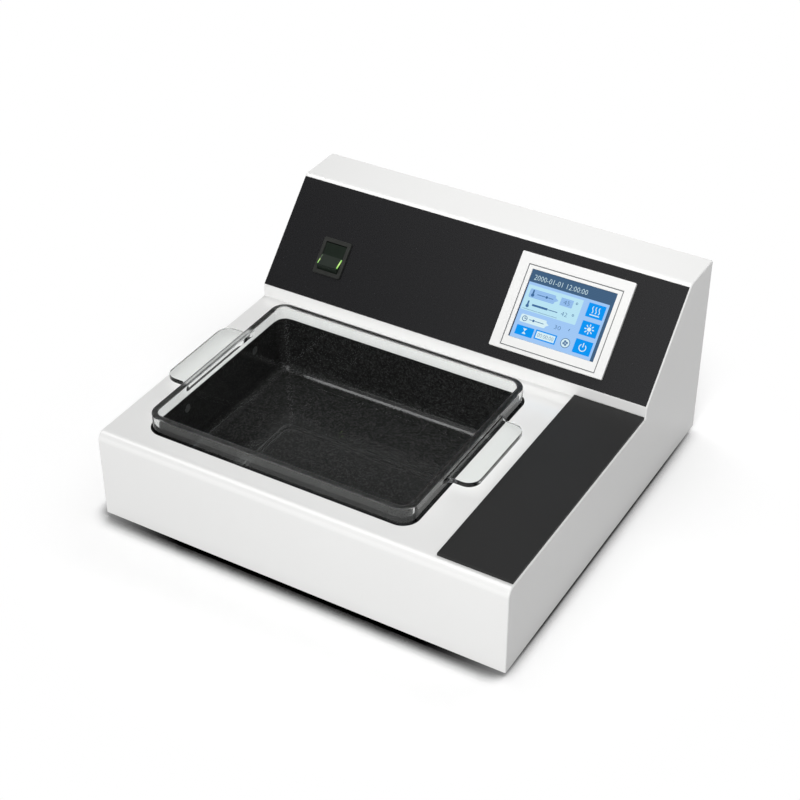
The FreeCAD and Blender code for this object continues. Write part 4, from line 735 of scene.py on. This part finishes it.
def screw_tree():
    """Pan-head screws on points: a turned head and shank, a cross recess, and a hexagon nut where the nut's
    height isn't 0."""
    tree = bpy.data.node_groups.new("CrossHeadScrews", "GeometryNodeTree")
    tree.interface.new_socket("Places", in_out="INPUT", socket_type="NodeSocketGeometry")
    tree.interface.new_socket("Turn", in_out="INPUT", socket_type="NodeSocketRotation")
    for name in SCREW_SIZES:
        size = tree.interface.new_socket(name, in_out="INPUT", socket_type="NodeSocketFloat")
        size.subtype = "DISTANCE"
    tree.interface.new_socket("Plating", in_out="INPUT", socket_type="NodeSocketMaterial")
    tree.interface.new_socket("Screws", in_out="OUTPUT", socket_type="NodeSocketGeometry")
    given = add(tree, "NodeGroupInput").outputs

    # Sizes worked out from the inputs, each from an operation on two values or earlier sizes
    sums = {name: given[name] for name in SCREW_SIZES}
    table = [
        ("tip", "SUBTRACT", 0.0, "Shank Length"), ("chamfer", "MULTIPLY", "Shank Radius", 0.25),
        ("shoulder", "ADD", "tip", "chamfer"), ("point", "SUBTRACT", "Shank Radius", "chamfer"),
        ("crown", "MULTIPLY", "Head Height", 0.45), ("rim", "SUBTRACT", "Head Height", "crown"),
        ("recess depth", "MULTIPLY", "Recess Depth", 2.0),
        ("recess length", "MULTIPLY", "Recess Reach", 2.0),
        ("nut corner", "DIVIDE", "Nut Flats", math.sqrt(3)), ("bore", "ADD", "Shank Radius", 0.05 * MM),
        ("bore length", "MULTIPLY", "Nut Height", 2.0), ("half nut", "MULTIPLY", "Nut Height", 0.5),
        ("nut middle", "ADD", "Nut Start", "half nut"), ("nut drop", "MULTIPLY", "nut middle", -1.0),
        ("has nut", "GREATER_THAN", "Nut Height", 0.0)]
    for degrees in CROWN_STEPS:
        angle = math.radians(degrees)
        table += [
            (f"rise {degrees}", "MULTIPLY", "crown", math.sin(angle)),
            (f"height {degrees}", "ADD", "rim", f"rise {degrees}"),
            (f"inset {degrees}", "MULTIPLY", "crown", 1 - math.cos(angle)),
            (f"radius {degrees}", "SUBTRACT", "Head Radius", f"inset {degrees}")]
    for name, operation, first, second in table:
        node = add(tree, "ShaderNodeMath", {0: sums.get(first, first), 1: sums.get(second, second)},
                   operation=operation)
        sums[name] = node.outputs[0]

    # Profile from the tip of the shank to the top of the crown, one height and one radius for each ring
    heights = [sums["tip"], sums["shoulder"], -0.02 * MM, 0.0, sums["rim"]]
    radii = [sums["point"]] + 2 * [given["Shank Radius"]] + 2 * [given["Head Radius"]]
    for degrees in CROWN_STEPS:
        heights.append(sums[f"height {degrees}"])
        radii.append(sums[f"radius {degrees}"])
    rings = []
    for values in (heights, radii):
        choice = add(tree, "GeometryNodeIndexSwitch", {
            "Index": add(tree, "GeometryNodeInputIndex").outputs[0]}, data_type="FLOAT")
        for _ in range(len(values) - 2):
            choice.index_switch_items.new()
        for k, value in enumerate(values):
            if isinstance(value, float):
                choice.inputs[k + 1].default_value = value
            else:
                tree.links.new(value, choice.inputs[k + 1])
        rings.append(choice.outputs[0])
    line = add(tree, "GeometryNodeCurvePrimitiveLine")
    points = add(tree, "GeometryNodeResampleCurve", {"Curve": line.outputs["Curve"], "Count": len(heights)})
    axis = add(tree, "GeometryNodeSetPosition", {
        "Geometry": points.outputs["Curve"],
        "Position": add(tree, "ShaderNodeCombineXYZ", {"Z": rings[0]}).outputs[0]})
    circle = add(tree, "GeometryNodeCurvePrimitiveCircle", {"Resolution": 28, "Radius": 1.0})
    lathe = add(tree, "GeometryNodeCurveToMesh", {
        "Curve": axis.outputs["Geometry"], "Profile Curve": circle.outputs["Curve"], "Scale": rings[1],
        "Fill Caps": True})

    # Cross recess in the head
    reach, width = sums["recess length"], given["Recess Width"]
    middle = add(tree, "ShaderNodeCombineXYZ", {"Z": given["Head Height"]}).outputs[0]
    solid = lathe.outputs["Mesh"]
    for across, along in ((reach, width), (width, reach)):
        extent = add(tree, "ShaderNodeCombineXYZ", {"X": across, "Y": along, "Z": sums["recess depth"]})
        blade = add(tree, "GeometryNodeMeshCube", {"Size": extent.outputs[0]})
        cutter = add(tree, "GeometryNodeTransform", {
            "Geometry": blade.outputs["Mesh"], "Translation": middle})
        cut = add(tree, "GeometryNodeMeshBoolean", {
            "Mesh 1": solid, "Mesh 2": cutter.outputs["Geometry"]}, operation="DIFFERENCE", solver="EXACT")
        solid = cut.outputs["Mesh"]

    # Nut on the shank
    hexagon = add(tree, "GeometryNodeMeshCylinder", {
        "Vertices": 6, "Radius": sums["nut corner"], "Depth": given["Nut Height"]})
    bore = add(tree, "GeometryNodeMeshCylinder", {
        "Vertices": 28, "Radius": sums["bore"], "Depth": sums["bore length"]})
    nut = add(tree, "GeometryNodeMeshBoolean", {
        "Mesh 1": hexagon.outputs["Mesh"], "Mesh 2": bore.outputs["Mesh"]},
        operation="DIFFERENCE", solver="EXACT")
    placed = add(tree, "GeometryNodeTransform", {
        "Geometry": nut.outputs["Mesh"],
        "Translation": add(tree, "ShaderNodeCombineXYZ", {"Z": sums["nut drop"]}).outputs[0]})
    shown = add(tree, "GeometryNodeSwitch", {
        "Switch": sums["has nut"], "True": placed.outputs["Geometry"]})

    whole = add(tree, "GeometryNodeJoinGeometry", {"Geometry": solid})
    tree.links.new(shown.outputs["Output"], whole.inputs["Geometry"])
    copies = add(tree, "GeometryNodeInstanceOnPoints", {
        "Points": given["Places"], "Instance": whole.outputs["Geometry"], "Rotation": given["Turn"]})
    real = add(tree, "GeometryNodeRealizeInstances", {"Geometry": copies.outputs["Instances"]})
    plated = add(tree, "GeometryNodeSetMaterial", {
        "Geometry": real.outputs["Geometry"], "Material": given["Plating"]})
    add(tree, "NodeGroupOutput", {"Screws": plated.outputs["Geometry"]})
    return tree


def screws(name, tree, tilt, large, settings, plating):
    """Screws that stand for a CAD node: their places and lengths are read from the node's own solids.
    The tilt about X, in degrees, turns the upright screw so that its head faces as it does on the bath."""
    turn = Euler((math.radians(tilt), 0, 0))
    head = turn.to_matrix() @ Vector((0, 0, 1))
    radius = settings.large_head if large else settings.small_head
    height = settings.large_height if large else settings.small_height
    shank = LARGE_SHANK if large else SMALL_SHANK
    places, lengths, nuts = [], [], []
    for points in islands(name):
        reach = [point.dot(head) for point in points]
        if max(reach) - min(reach) < TALLEST_NUT:
            nuts.append((max(reach), max(reach) - min(reach)))
            continue
        middle = sum(points, Vector()) / len(points)
        seat = max(reach) - height
        places.append(middle + head * (seat - middle.dot(head)))
        lengths.append(seat - min(reach))
    if not places:
        raise ValueError(f"no screws found in {name}")
    mesh = bpy.data.meshes.new(name + "_places")
    mesh.from_pydata(places, [], [])
    carrier = bpy.data.objects.new(name + "_places", mesh)
    bpy.context.scene.collection.objects.link(carrier)
    modifier = carrier.modifiers.new("screws", "NODES")
    modifier.node_group = tree
    sizes = {
        "Head Radius": radius, "Head Height": height, "Shank Radius": shank, "Shank Length": lengths[0],
        "Recess Reach": radius * 0.5, "Recess Width": radius * 0.24, "Recess Depth": height * 0.5,
        "Nut Flats": NUT_FLATS, "Nut Height": nuts[0][1] if nuts else 0.0,
        "Nut Start": places[0].dot(head) - nuts[0][0] if nuts else 0.0}
    for item in tree.interface.items_tree:
        if item.name in sizes:
            modifier[item.identifier] = sizes[item.name]
        elif item.name == "Turn":
            modifier[item.identifier] = turn
        elif item.name == "Plating":
            modifier[item.identifier] = plating
    bpy.context.view_layer.update()
    made = bpy.data.meshes.new_from_object(carrier.evaluated_get(bpy.context.evaluated_depsgraph_get()))
    made.name = name + "_cross_head"
    bpy.data.objects.remove(carrier)
    soften(made)
    piece = new_piece(name + "_cross_head", made, plating, "base")
    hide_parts(name)


# Stage: places in metres and directions as unit vectors

KEY_PLACE = (0.42, -1.81, 1.08)
FILL_PLACE = (0.05, 0.2, 0.5)
# Depth of the fill lamp as a share of its width
FILL_DEPTH = 0.27
LAMP_AIM = Vector((0, 0, 0.06))
FRONT_PATCH = (0.1, -0.62, 0.78)
SOFTBOX = (-0.38, -0.06, 0.925)
LOW_WALL = (-0.5, 0.866, 0.0)
CAMERA_PLACE = (0.541379, -0.936562, 0.851607)
CAMERA_RIGHT = (0.862386, 0.506251, -0.000285)
CAMERA_UP = (-0.296492, 0.505523, 0.810271)
CAMERA_BACK = (0.410344, -0.698682, 0.586056)


def floor_paint(look):
    """Pale matt floor: white to the camera and in reflections, and a plain light grey for the light that it
    gives back. Close to the bath its colour is darkened as a painted contact shadow, and away from it it
    turns into the white backdrop."""
    material, tree, place = blank("Floor_Pale_Matt")
    path = add(tree, "ShaderNodeLightPath").outputs
    seen = path["Is Camera Ray"]
    for kind in ("Is Glossy Ray", "Is Transmission Ray"):
        seen = add(tree, "ShaderNodeMath", {0: seen, 1: path[kind]}, operation="MAXIMUM").outputs[0]
    # The painted contact shadow leans to the right, so that it stays thin on that side of the bath
    lean = add(tree, "ShaderNodeCombineXYZ", {"X": 0.5, "Y": 0.1, "Z": 0.86})
    contact_shade_test = add(tree, "ShaderNodeAmbientOcclusion", {
        "Distance": look.contact, "Normal": lean.outputs["Vector"]}, samples=16)
    painted_contact_tone = add(tree, "ShaderNodeMapRange", {
        "Value": contact_shade_test.outputs["AO"], "From Min": 0.56, "From Max": 0.94, "To Max": look.near_floor},
        interpolation_type="SMOOTHSTEP")
    tone = add(tree, "ShaderNodeMapRange", {
        "Value": seen, "To Min": 0.3, "To Max": painted_contact_tone.outputs["Result"]})
    matt = add(tree, "ShaderNodeBsdfDiffuse", {"Color": tone.outputs["Result"]})
    away = add(tree, "ShaderNodeVectorMath", {0: place}, operation="LENGTH")
    far = add(tree, "ShaderNodeMapRange", {
        "Value": away.outputs["Value"], "From Min": 0.19, "From Max": 0.33, "To Max": seen},
        interpolation_type="SMOOTHSTEP")
    white = add(tree, "ShaderNodeEmission", {"Strength": 1.0})
    both = add(tree, "ShaderNodeMixShader", {
        "Fac": far.outputs["Result"], 1: matt.outputs["BSDF"], 2: white.outputs["Emission"]})
    add(tree, "ShaderNodeOutputMaterial", {"Surface": both.outputs["Shader"]})
    return material


def studio(look):
    """World that is white to the camera, a dim studio in reflections, and soft light on the bath."""
    world = bpy.data.worlds.new("Studio")
    world.use_nodes = True
    tree = world.node_tree
    tree.nodes.clear()
    path = add(tree, "ShaderNodeLightPath").outputs
    way = add(tree, "ShaderNodeTexCoord").outputs["Generated"]
    ray = add(tree, "ShaderNodeSeparateXYZ", {"Vector": way})

    # Rays that go straight through the glass see white too
    straight = add(tree, "ShaderNodeMath", {0: path["Glossy Depth"], 1: 0.5}, operation="LESS_THAN")
    through = add(tree, "ShaderNodeMath", {
        0: path["Is Transmission Ray"], 1: straight.outputs[0]}, operation="MULTIPLY")
    clear = add(tree, "ShaderNodeMath", {
        0: path["Is Camera Ray"], 1: through.outputs[0]}, operation="MAXIMUM")

    # Reflections see the white horizon, a dim ceiling, a grey back wall, a soft bright patch over the front
    # and a softbox overhead
    horizon = add(tree, "ShaderNodeMapRange", {
        "Value": ray.outputs["Z"], "From Min": 0.24, "From Max": 0.5,
        "To Min": 1.0, "To Max": look.ceiling})
    behind = add(tree, "ShaderNodeMapRange", {
        "Value": ray.outputs["Y"], "From Min": 0.2, "From Max": 0.6, "To Max": look.back_wall},
        interpolation_type="SMOOTHSTEP")
    shine = add(tree, "ShaderNodeMath", {
        0: horizon.outputs["Result"], 1: behind.outputs["Result"]}, operation="MAXIMUM")
    for aim, edge, full, strength in (
            (FRONT_PATCH, 0.8, 0.97, 1.0), (SOFTBOX, 0.93, 0.97, look.softbox)):
        towards = add(tree, "ShaderNodeVectorMath", {0: way, 1: aim}, operation="DOT_PRODUCT")
        patch = add(tree, "ShaderNodeMapRange", {
            "Value": towards.outputs["Value"], "From Min": edge, "From Max": full, "To Max": strength},
            interpolation_type="SMOOTHSTEP")
        shine = add(tree, "ShaderNodeMath", {
            0: shine.outputs[0], 1: patch.outputs["Result"]}, operation="MAXIMUM")

    # The light itself comes from an even sky and from a bright low wall behind on the left
    low = add(tree, "ShaderNodeMapRange", {
        "Value": ray.outputs["Z"], "From Min": 0.3, "From Max": 0.6,
        "To Min": look.wall_light, "To Max": look.sky_light}, interpolation_type="SMOOTHSTEP")
    side = add(tree, "ShaderNodeVectorMath", {0: way, 1: LOW_WALL}, operation="DOT_PRODUCT")
    glow = add(tree, "ShaderNodeMapRange", {
        "Value": side.outputs["Value"], "From Min": 0.1, "From Max": 0.6,
        "To Min": look.sky_light, "To Max": low.outputs["Result"]}, interpolation_type="SMOOTHSTEP")

    unseen = add(tree, "ShaderNodeMapRange", {
        "Value": path["Is Glossy Ray"], "To Min": glow.outputs["Result"], "To Max": shine.outputs[0]})
    level = add(tree, "ShaderNodeMapRange", {
        "Value": clear.outputs[0], "To Min": unseen.outputs["Result"], "To Max": 1.0})
    sky = add(tree, "ShaderNodeBackground", {
        "Color": (1, 1, 1, 1), "Strength": level.outputs["Result"]})
    add(tree, "ShaderNodeOutputWorld", {"Surface": sky.outputs["Background"]})
    return world


# Operators: one for each piece or group of like pieces

class BATH_OT_sheet_metal(bpy.types.Operator):
    """Coat the housing and rear panel white, and leave the inner sheet parts galvanised"""
    bl_idname = "bath.sheet_metal"
    bl_label = "Sheet metal"

    def execute(self, context):
        coat(powder_coat(context.scene.bath_finish), "housing", "rear_panel")
        coat(galvanised(), "base_plate", "insulation_tray", "plate_clamp", "display_clips", "sensor_clip",
             "power_supply")
        return {"FINISHED"}


class BATH_OT_feet(bpy.types.Operator):
    """Make the feet black rubber"""
    bl_idname = "bath.feet"
    bl_label = "Rubber feet"

    def execute(self, context):
        coat(rubber(), "rubber_feet")
        return {"FINISHED"}


class BATH_OT_well(bpy.types.Operator):
    """Coat the heated well, and finish its gasket and lamp lenses"""
    bl_idname = "bath.well"
    bl_label = "Heated well"

    def execute(self, context):
        coat(hard_coat(context.scene.bath_finish), "heated_well")
        coat(silicone(), "well_gasket")
        coat(lamp_lens(), "lamp_lenses")
        return {"FINISHED"}


class BATH_OT_dish(bpy.types.Operator):
    """Make the dish clear pressed glass"""
    bl_idname = "bath.dish"
    bl_label = "Glass dish"

    def execute(self, context):
        coat(moulded_glass(context.scene.bath_finish), "glass_dish")
        # Clear glass lets the lamps through, which a shadow ray can't follow
        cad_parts["glass_dish"].visible_shadow = False
        return {"FINISHED"}


class BATH_OT_slide_plate(bpy.types.Operator):
    """Make the slide plate black anodised aluminium"""
    bl_idname = "bath.slide_plate"
    bl_label = "Slide plate"

    def execute(self, context):
        coat(anodised_plate(context.scene.bath_finish), "slide_plate")
        return {"FINISHED"}


class BATH_OT_console(bpy.types.Operator):
    """Finish the console's overlay, screen bezel and touch panel"""
    bl_idname = "bath.console"
    bl_label = "Console"

    def execute(self, context):
        coat(overlay_sheet(context.scene.bath_finish), "console_overlay")
        coat(white_abs(context.scene.bath_finish), "screen_bezel", "touch_panel")
        # Seal round the edge of the touch panel, mitred at its corners
        matrix, width, height = sloped_face("touch_panel")
        width, height = width / MM, height / MM
        seal = context.scene.bath_screen.seal_width / MM
        screen_layer("touch_seal", [
            polygon((0, 0), (width, 0), (width - seal, seal), (seal, seal)),
            polygon((width, 0), (width, height), (width - seal, height - seal), (width - seal, seal)),
            polygon((width, height), (0, height), (seal, height - seal), (width - seal, height - seal)),
            polygon((0, height), (0, 0), (seal, seal), (seal, height - seal))],
            0, silicone(), matrix, context.scene.bath_screen.film_thick)
        return {"FINISHED"}


class BATH_OT_screen(bpy.types.Operator):
    """Draw the lit picture on the display in thin layers"""
    bl_idname = "bath.screen"
    bl_label = "Screen picture"

    def execute(self, context):
        look = context.scene.bath_screen
        matrix, width, height = sloped_face("lcd_panel")
        width, height = width / MM, height / MM
        glow = look.brightness
        thick = look.film_thick
        header = height - look.header_height / MM
        side = width - look.side_width / MM
        navy = lit("Screen_Slate", look.header_colour, tinted(look.header_colour, 1.1), glow)
        sky = lit("Screen_LightBlue", look.body_colour, tinted(look.body_colour, 1.05), glow)
        cyan = lit("Screen_PaleCyan", look.panel_colour, tinted(look.panel_colour, 1.04), glow)
        azure = lit("Screen_Azure", look.button_colour, tinted(look.button_colour, 1.12), glow)
        lavender = lit("Screen_Lavender", linear("93BEF2"), linear("9FC8F6"), glow)
        pale = lit("Screen_White", linear("D6F4FC"), linear("E6FAFF"), glow)
        ink = lit("Screen_Ink", linear("3E6A9C"), linear("4674A6"), glow)
        grey = lit("Screen_Grey", linear("5E7FA6"), linear("6A8AB0"), glow)
        coat(lit("Screen_Frame", linear("26344E"), linear("2C3C58"), 0.8 * glow), "lcd_panel")

        def layer(name, outlines, level, material):
            screen_layer(name, outlines, level, material, matrix, thick)

        def digits(name, lines, level, material):
            screen_text(name, lines, level, material, matrix, thick)

        # Places in millimetres from the display's lower left corner
        button_left, button_right, button_height = 52.3, 66.4, 11.0
        button_middle = (button_left + button_right) / 2
        lamp_middle, standby_middle = 22.65, 7.9
        timer_left, timer_right = 3.6, 18.2
        timer_middle = (timer_left + timer_right) / 2
        fan_x, fan_y = 45.2, 7.4

        layer("screen_header", [
            rectangle(0, header, width, height), rectangle(side, 0, width, header)], 0, navy)
        # The background starts 0.7 mm in from the left edge, so a thin strip of the frame's dark colour
        # shows there as painted shade of the recess wall
        layer("screen_background", [rectangle(0.7, 0, side, header)], 0, sky)
        layer("screen_panel", [rectangle(1.4, 22.6, 47.5, 42.6, 0.6)], 1, cyan)
        layer("screen_value_fields", [rectangle(30, 33.8, 40.3, 40.0, 0.4)], 2, lavender)
        layer("screen_chip", [arrow_chip(3.9, 33.0, 25.6, 40.0, 28.4)], 2, lavender)
        layer("screen_timer_chip", [arrow_chip(4.0, 13.2, 25.4, 19.4, 27.8)], 1, pale)
        buttons = [
            rectangle(button_left, foot, button_right, foot + button_height, 0.4)
            for foot in (31.6, 17.2, 2.7)]
        layer("screen_buttons", buttons + [
            rectangle(timer_left, 3.0, timer_right, 10.5, 0.3),
            rectangle(19.7, 3.5, 37.4, 10.9, 0.3)], 1, azure)
        layer("screen_clock_field", [rectangle(20.8, 4.5, 36.3, 9.9, 0.2)], 2, pale)

        # Signs on the left: set warmth, warmth now and time, with degree and minute marks
        layer("screen_signs", [
            thermometer(7.0, 33.8, 5.6), *slider(10.4, 24.0, 36.5, 18.5),
            thermometer(5.8, 24.9, 5.6), rectangle(9.4, 27.0, 22.5, 28.6), rectangle(23.0, 27.5, 30.8, 28.1),
            *dial_face(7.6, 16.3, 2.2), *slider(11.4, 23.6, 16.3, 15.0),
            ring_part(43.2, 38.6, 0.7, 0.4, 5, 355), ring_part(43.4, 29.2, 0.7, 0.4, 5, 355),
            turned(rectangle(44.3, 16.8, 44.8, 18.8), 44.5, 17.8, -14)], 3, ink)
        layer("screen_dots", [rectangle(u, 23.4, u + 0.6, 23.9) for u in range(3, 32)], 2, grey)

        # Signs on the buttons: heat, lamp, standby and hourglass
        ray = rectangle(button_middle - 0.4, 24.9, button_middle + 0.4, 26.6)
        layer("screen_button_signs", [
            *(heat_wave(button_middle + u, 35.0, 5.4) for u in (-2.65, 0.0, 2.65)),
            rectangle(button_middle - 3.95, 33.3, button_middle + 3.95, 34.1),
            disc(button_middle, lamp_middle, 1.6),
            *(turned(ray, button_middle, lamp_middle, 45 * k) for k in range(8)),
            ring_part(button_middle, standby_middle, 2.7, 0.7, 125, 415),
            rectangle(button_middle - 0.37, 8.2, button_middle + 0.37, 11.6),
            polygon((timer_middle - 1.7, 4.6), (timer_middle + 1.7, 4.6), (timer_middle, 6.6)),
            polygon((timer_middle, 6.9), (timer_middle + 1.7, 8.9), (timer_middle - 1.7, 8.9))], 2, pale)
        blade = disc(fan_x + 1.3, fan_y, 0.95, 14)
        layer("screen_fan_ring", [ring_part(fan_x, fan_y, 3.6, 0.6, 0, 358)], 2, grey)
        layer("screen_fan_face", [disc(fan_x, fan_y, 3.3)], 1, pale)
        layer("screen_fan_blades", [turned(blade, fan_x, fan_y, 90 * k + 20) for k in range(4)], 2, grey)
        digits("screen_clock", [(look.clock_text, 3.4, 47.0, 4.2, 44.8)], 1, pale)
        digits("screen_readings", [
            ("45", 32.6, 35.2, 3.4, 5.2), ("42", 33.8, 26.4, 3.4, 5.2), ("30", 32.6, 15.2, 3.4, 5.2),
            ("00:00:00", 22.0, 5.6, 3.2, 13.2)], 3, ink)
        return {"FINISHED"}


class BATH_OT_switch(bpy.types.Operator):
    """Finish the power switch: nylon frame, smoked rocker and its green light"""
    bl_idname = "bath.switch"
    bl_label = "Power switch"

    def execute(self, context):
        coat(black_nylon(), "switch_body")
        coat(smoked_rocker(), "switch_rocker")
        coat(green_light(), "rocker_light")
        coat(brass(), "switch_terminals")
        return {"FINISHED"}


class BATH_OT_inlet(bpy.types.Operator):
    """Finish the mains inlet, its pins, fuse drawer and fuses"""
    bl_idname = "bath.inlet"
    bl_label = "Mains inlet"

    def execute(self, context):
        coat(black_nylon(), "inlet_body", "fuse_drawer")
        coat(brass(), "inlet_pins")
        coat(fuse_tube("fuses"), "fuses")
        return {"FINISHED"}


class BATH_OT_screws(bpy.types.Operator):
    """Stand cross-head screws and nuts in for the plain CAD screws"""
    bl_idname = "bath.screws"
    bl_label = "Screws"

    def execute(self, context):
        tree = screw_tree()
        plating = zinc_plate()
        slope = math.degrees(math.asin(-sloped_face("lcd_panel")[0].col[2].y))
        for name, tilt, large in (
                ("base_screws", 180, True), ("foot_screws", 180, True), ("rear_screws", -90, False),
                ("inlet_screws", -90, False), ("board_screws", 0, False), ("relay_screws", 0, True),
                ("display_screws", slope - 180, False)):
            screws(name, tree, tilt, large, context.scene.bath_screws, plating)
            coat(plating, name)
        coat(plating, "earth_nuts", "well_studs", "well_nuts", "tray_posts", "lamp_standoffs", "plate_studs",
             "plate_nuts")
        return {"FINISHED"}


class BATH_OT_heaters(bpy.types.Operator):
    """Finish the heaters, insulation, sensors and cutout"""
    bl_idname = "bath.heaters"
    bl_label = "Heaters and insulation"

    def execute(self, context):
        coat(heater_mat(), "well_heater", "plate_heater")
        coat(glass_wool(), "well_insulation", "plate_insulation")
        coat(zinc_plate(), "well_sensor", "plate_sensor")
        coat(epoxy(), "thermal_cutout")
        return {"FINISHED"}


class BATH_OT_electronics(bpy.types.Operator):
    """Finish the boards, their parts, the supply's terminals and the relays"""
    bl_idname = "bath.electronics"
    bl_label = "Electronics"

    def execute(self, context):
        coat(circuit_board(), "control_board", "display_board", "lamp_boards")
        coat(epoxy(), "board_components", "supply_terminals", "solid_state_relays")
        coat(brass(), "board_standoffs")
        return {"FINISHED"}


class BATH_OT_stage(bpy.types.Operator):
    """Set up the pale floor, the soft light and the camera"""
    bl_idname = "bath.stage"
    bl_label = "Stage"

    def execute(self, context):
        scene = context.scene
        look = scene.bath_stage
        half = look.floor_size / 2
        mesh = bpy.data.meshes.new("floor")
        mesh.from_pydata(
            [(-half, -half, 0), (half, -half, 0), (half, half, 0), (-half, half, 0)], [], [(0, 1, 2, 3)])
        floor = bpy.data.objects.new("floor", mesh)
        scene.collection.objects.link(floor)
        mesh.materials.append(floor_paint(look))
        scene.world = studio(look)

        for name, power, width, depth, place in (
                ("key", look.key_power, look.key_size, look.key_size, KEY_PLACE),
                ("fill", look.fill_power, look.fill_size, FILL_DEPTH * look.fill_size, FILL_PLACE)):
            lamp = bpy.data.lights.new(name, "AREA")
            lamp.shape = "RECTANGLE"
            lamp.energy = power
            lamp.size = width
            lamp.size_y = depth
            light = bpy.data.objects.new(name, lamp)
            light.location = place
            light.visible_camera = False
            light.visible_glossy = False
            light.visible_transmission = False
            light.rotation_euler = (LAMP_AIM - light.location).to_track_quat("-Z", "Y").to_euler()
            scene.collection.objects.link(light)

        camera = bpy.data.objects.new("camera", bpy.data.cameras.new("camera"))
        camera.data.lens = look.lens
        camera.data.sensor_width = 36.0
        matrix = Matrix((CAMERA_RIGHT, CAMERA_UP, CAMERA_BACK)).transposed().to_4x4()
        matrix.translation = CAMERA_PLACE
        camera.matrix_world = matrix
        scene.collection.objects.link(camera)
        scene.camera = camera
        scene.view_settings.view_transform = "Standard"
        return {"FINISHED"}


class BATH_PT_panel(bpy.types.Panel):
    """Sizes, colours and steps of the flotation bath"""
    bl_idname = "BATH_PT_panel"
    bl_label = "Flotation bath"
    bl_space_type = "VIEW_3D"
    bl_region_type = "UI"
    bl_category = "Bath"

    def draw(self, context):
        for name in SETTINGS:
            box = self.layout.box()
            settings = getattr(context.scene, name)
            for key in settings.__annotations__:
                box.prop(settings, key)
        for step in STEPS:
            self.layout.operator(step.bl_idname)


SETTINGS = {
    "bath_finish": BathFinishSettings, "bath_screen": BathScreenSettings, "bath_screws": BathScrewSettings,
    "bath_stage": BathStageSettings}
STEPS = (
    BATH_OT_stage, BATH_OT_sheet_metal, BATH_OT_feet, BATH_OT_well, BATH_OT_dish, BATH_OT_slide_plate,
    BATH_OT_console, BATH_OT_screen, BATH_OT_switch, BATH_OT_inlet, BATH_OT_screws, BATH_OT_heaters,
    BATH_OT_electronics)
CLASSES = tuple(SETTINGS.values()) + STEPS + (BATH_PT_panel,)


def register():
    for item in CLASSES:
        bpy.utils.register_class(item)
    for name, group in SETTINGS.items():
        setattr(bpy.types.Scene, name, PointerProperty(type=group))


def unregister():
    for name in SETTINGS:
        delattr(bpy.types.Scene, name)
    for item in reversed(CLASSES):
        bpy.utils.unregister_class(item)


def main():
    register()
    bpy.ops.bath.stage()
    bpy.ops.bath.sheet_metal()
    bpy.ops.bath.feet()
    bpy.ops.bath.well()
    bpy.ops.bath.dish()
    bpy.ops.bath.slide_plate()
    bpy.ops.bath.console()
    bpy.ops.bath.screen()
    bpy.ops.bath.switch()
    bpy.ops.bath.inlet()
    bpy.ops.bath.screws()
    bpy.ops.bath.heaters()
    bpy.ops.bath.electronics()


if __name__ == "__main__":
    main()
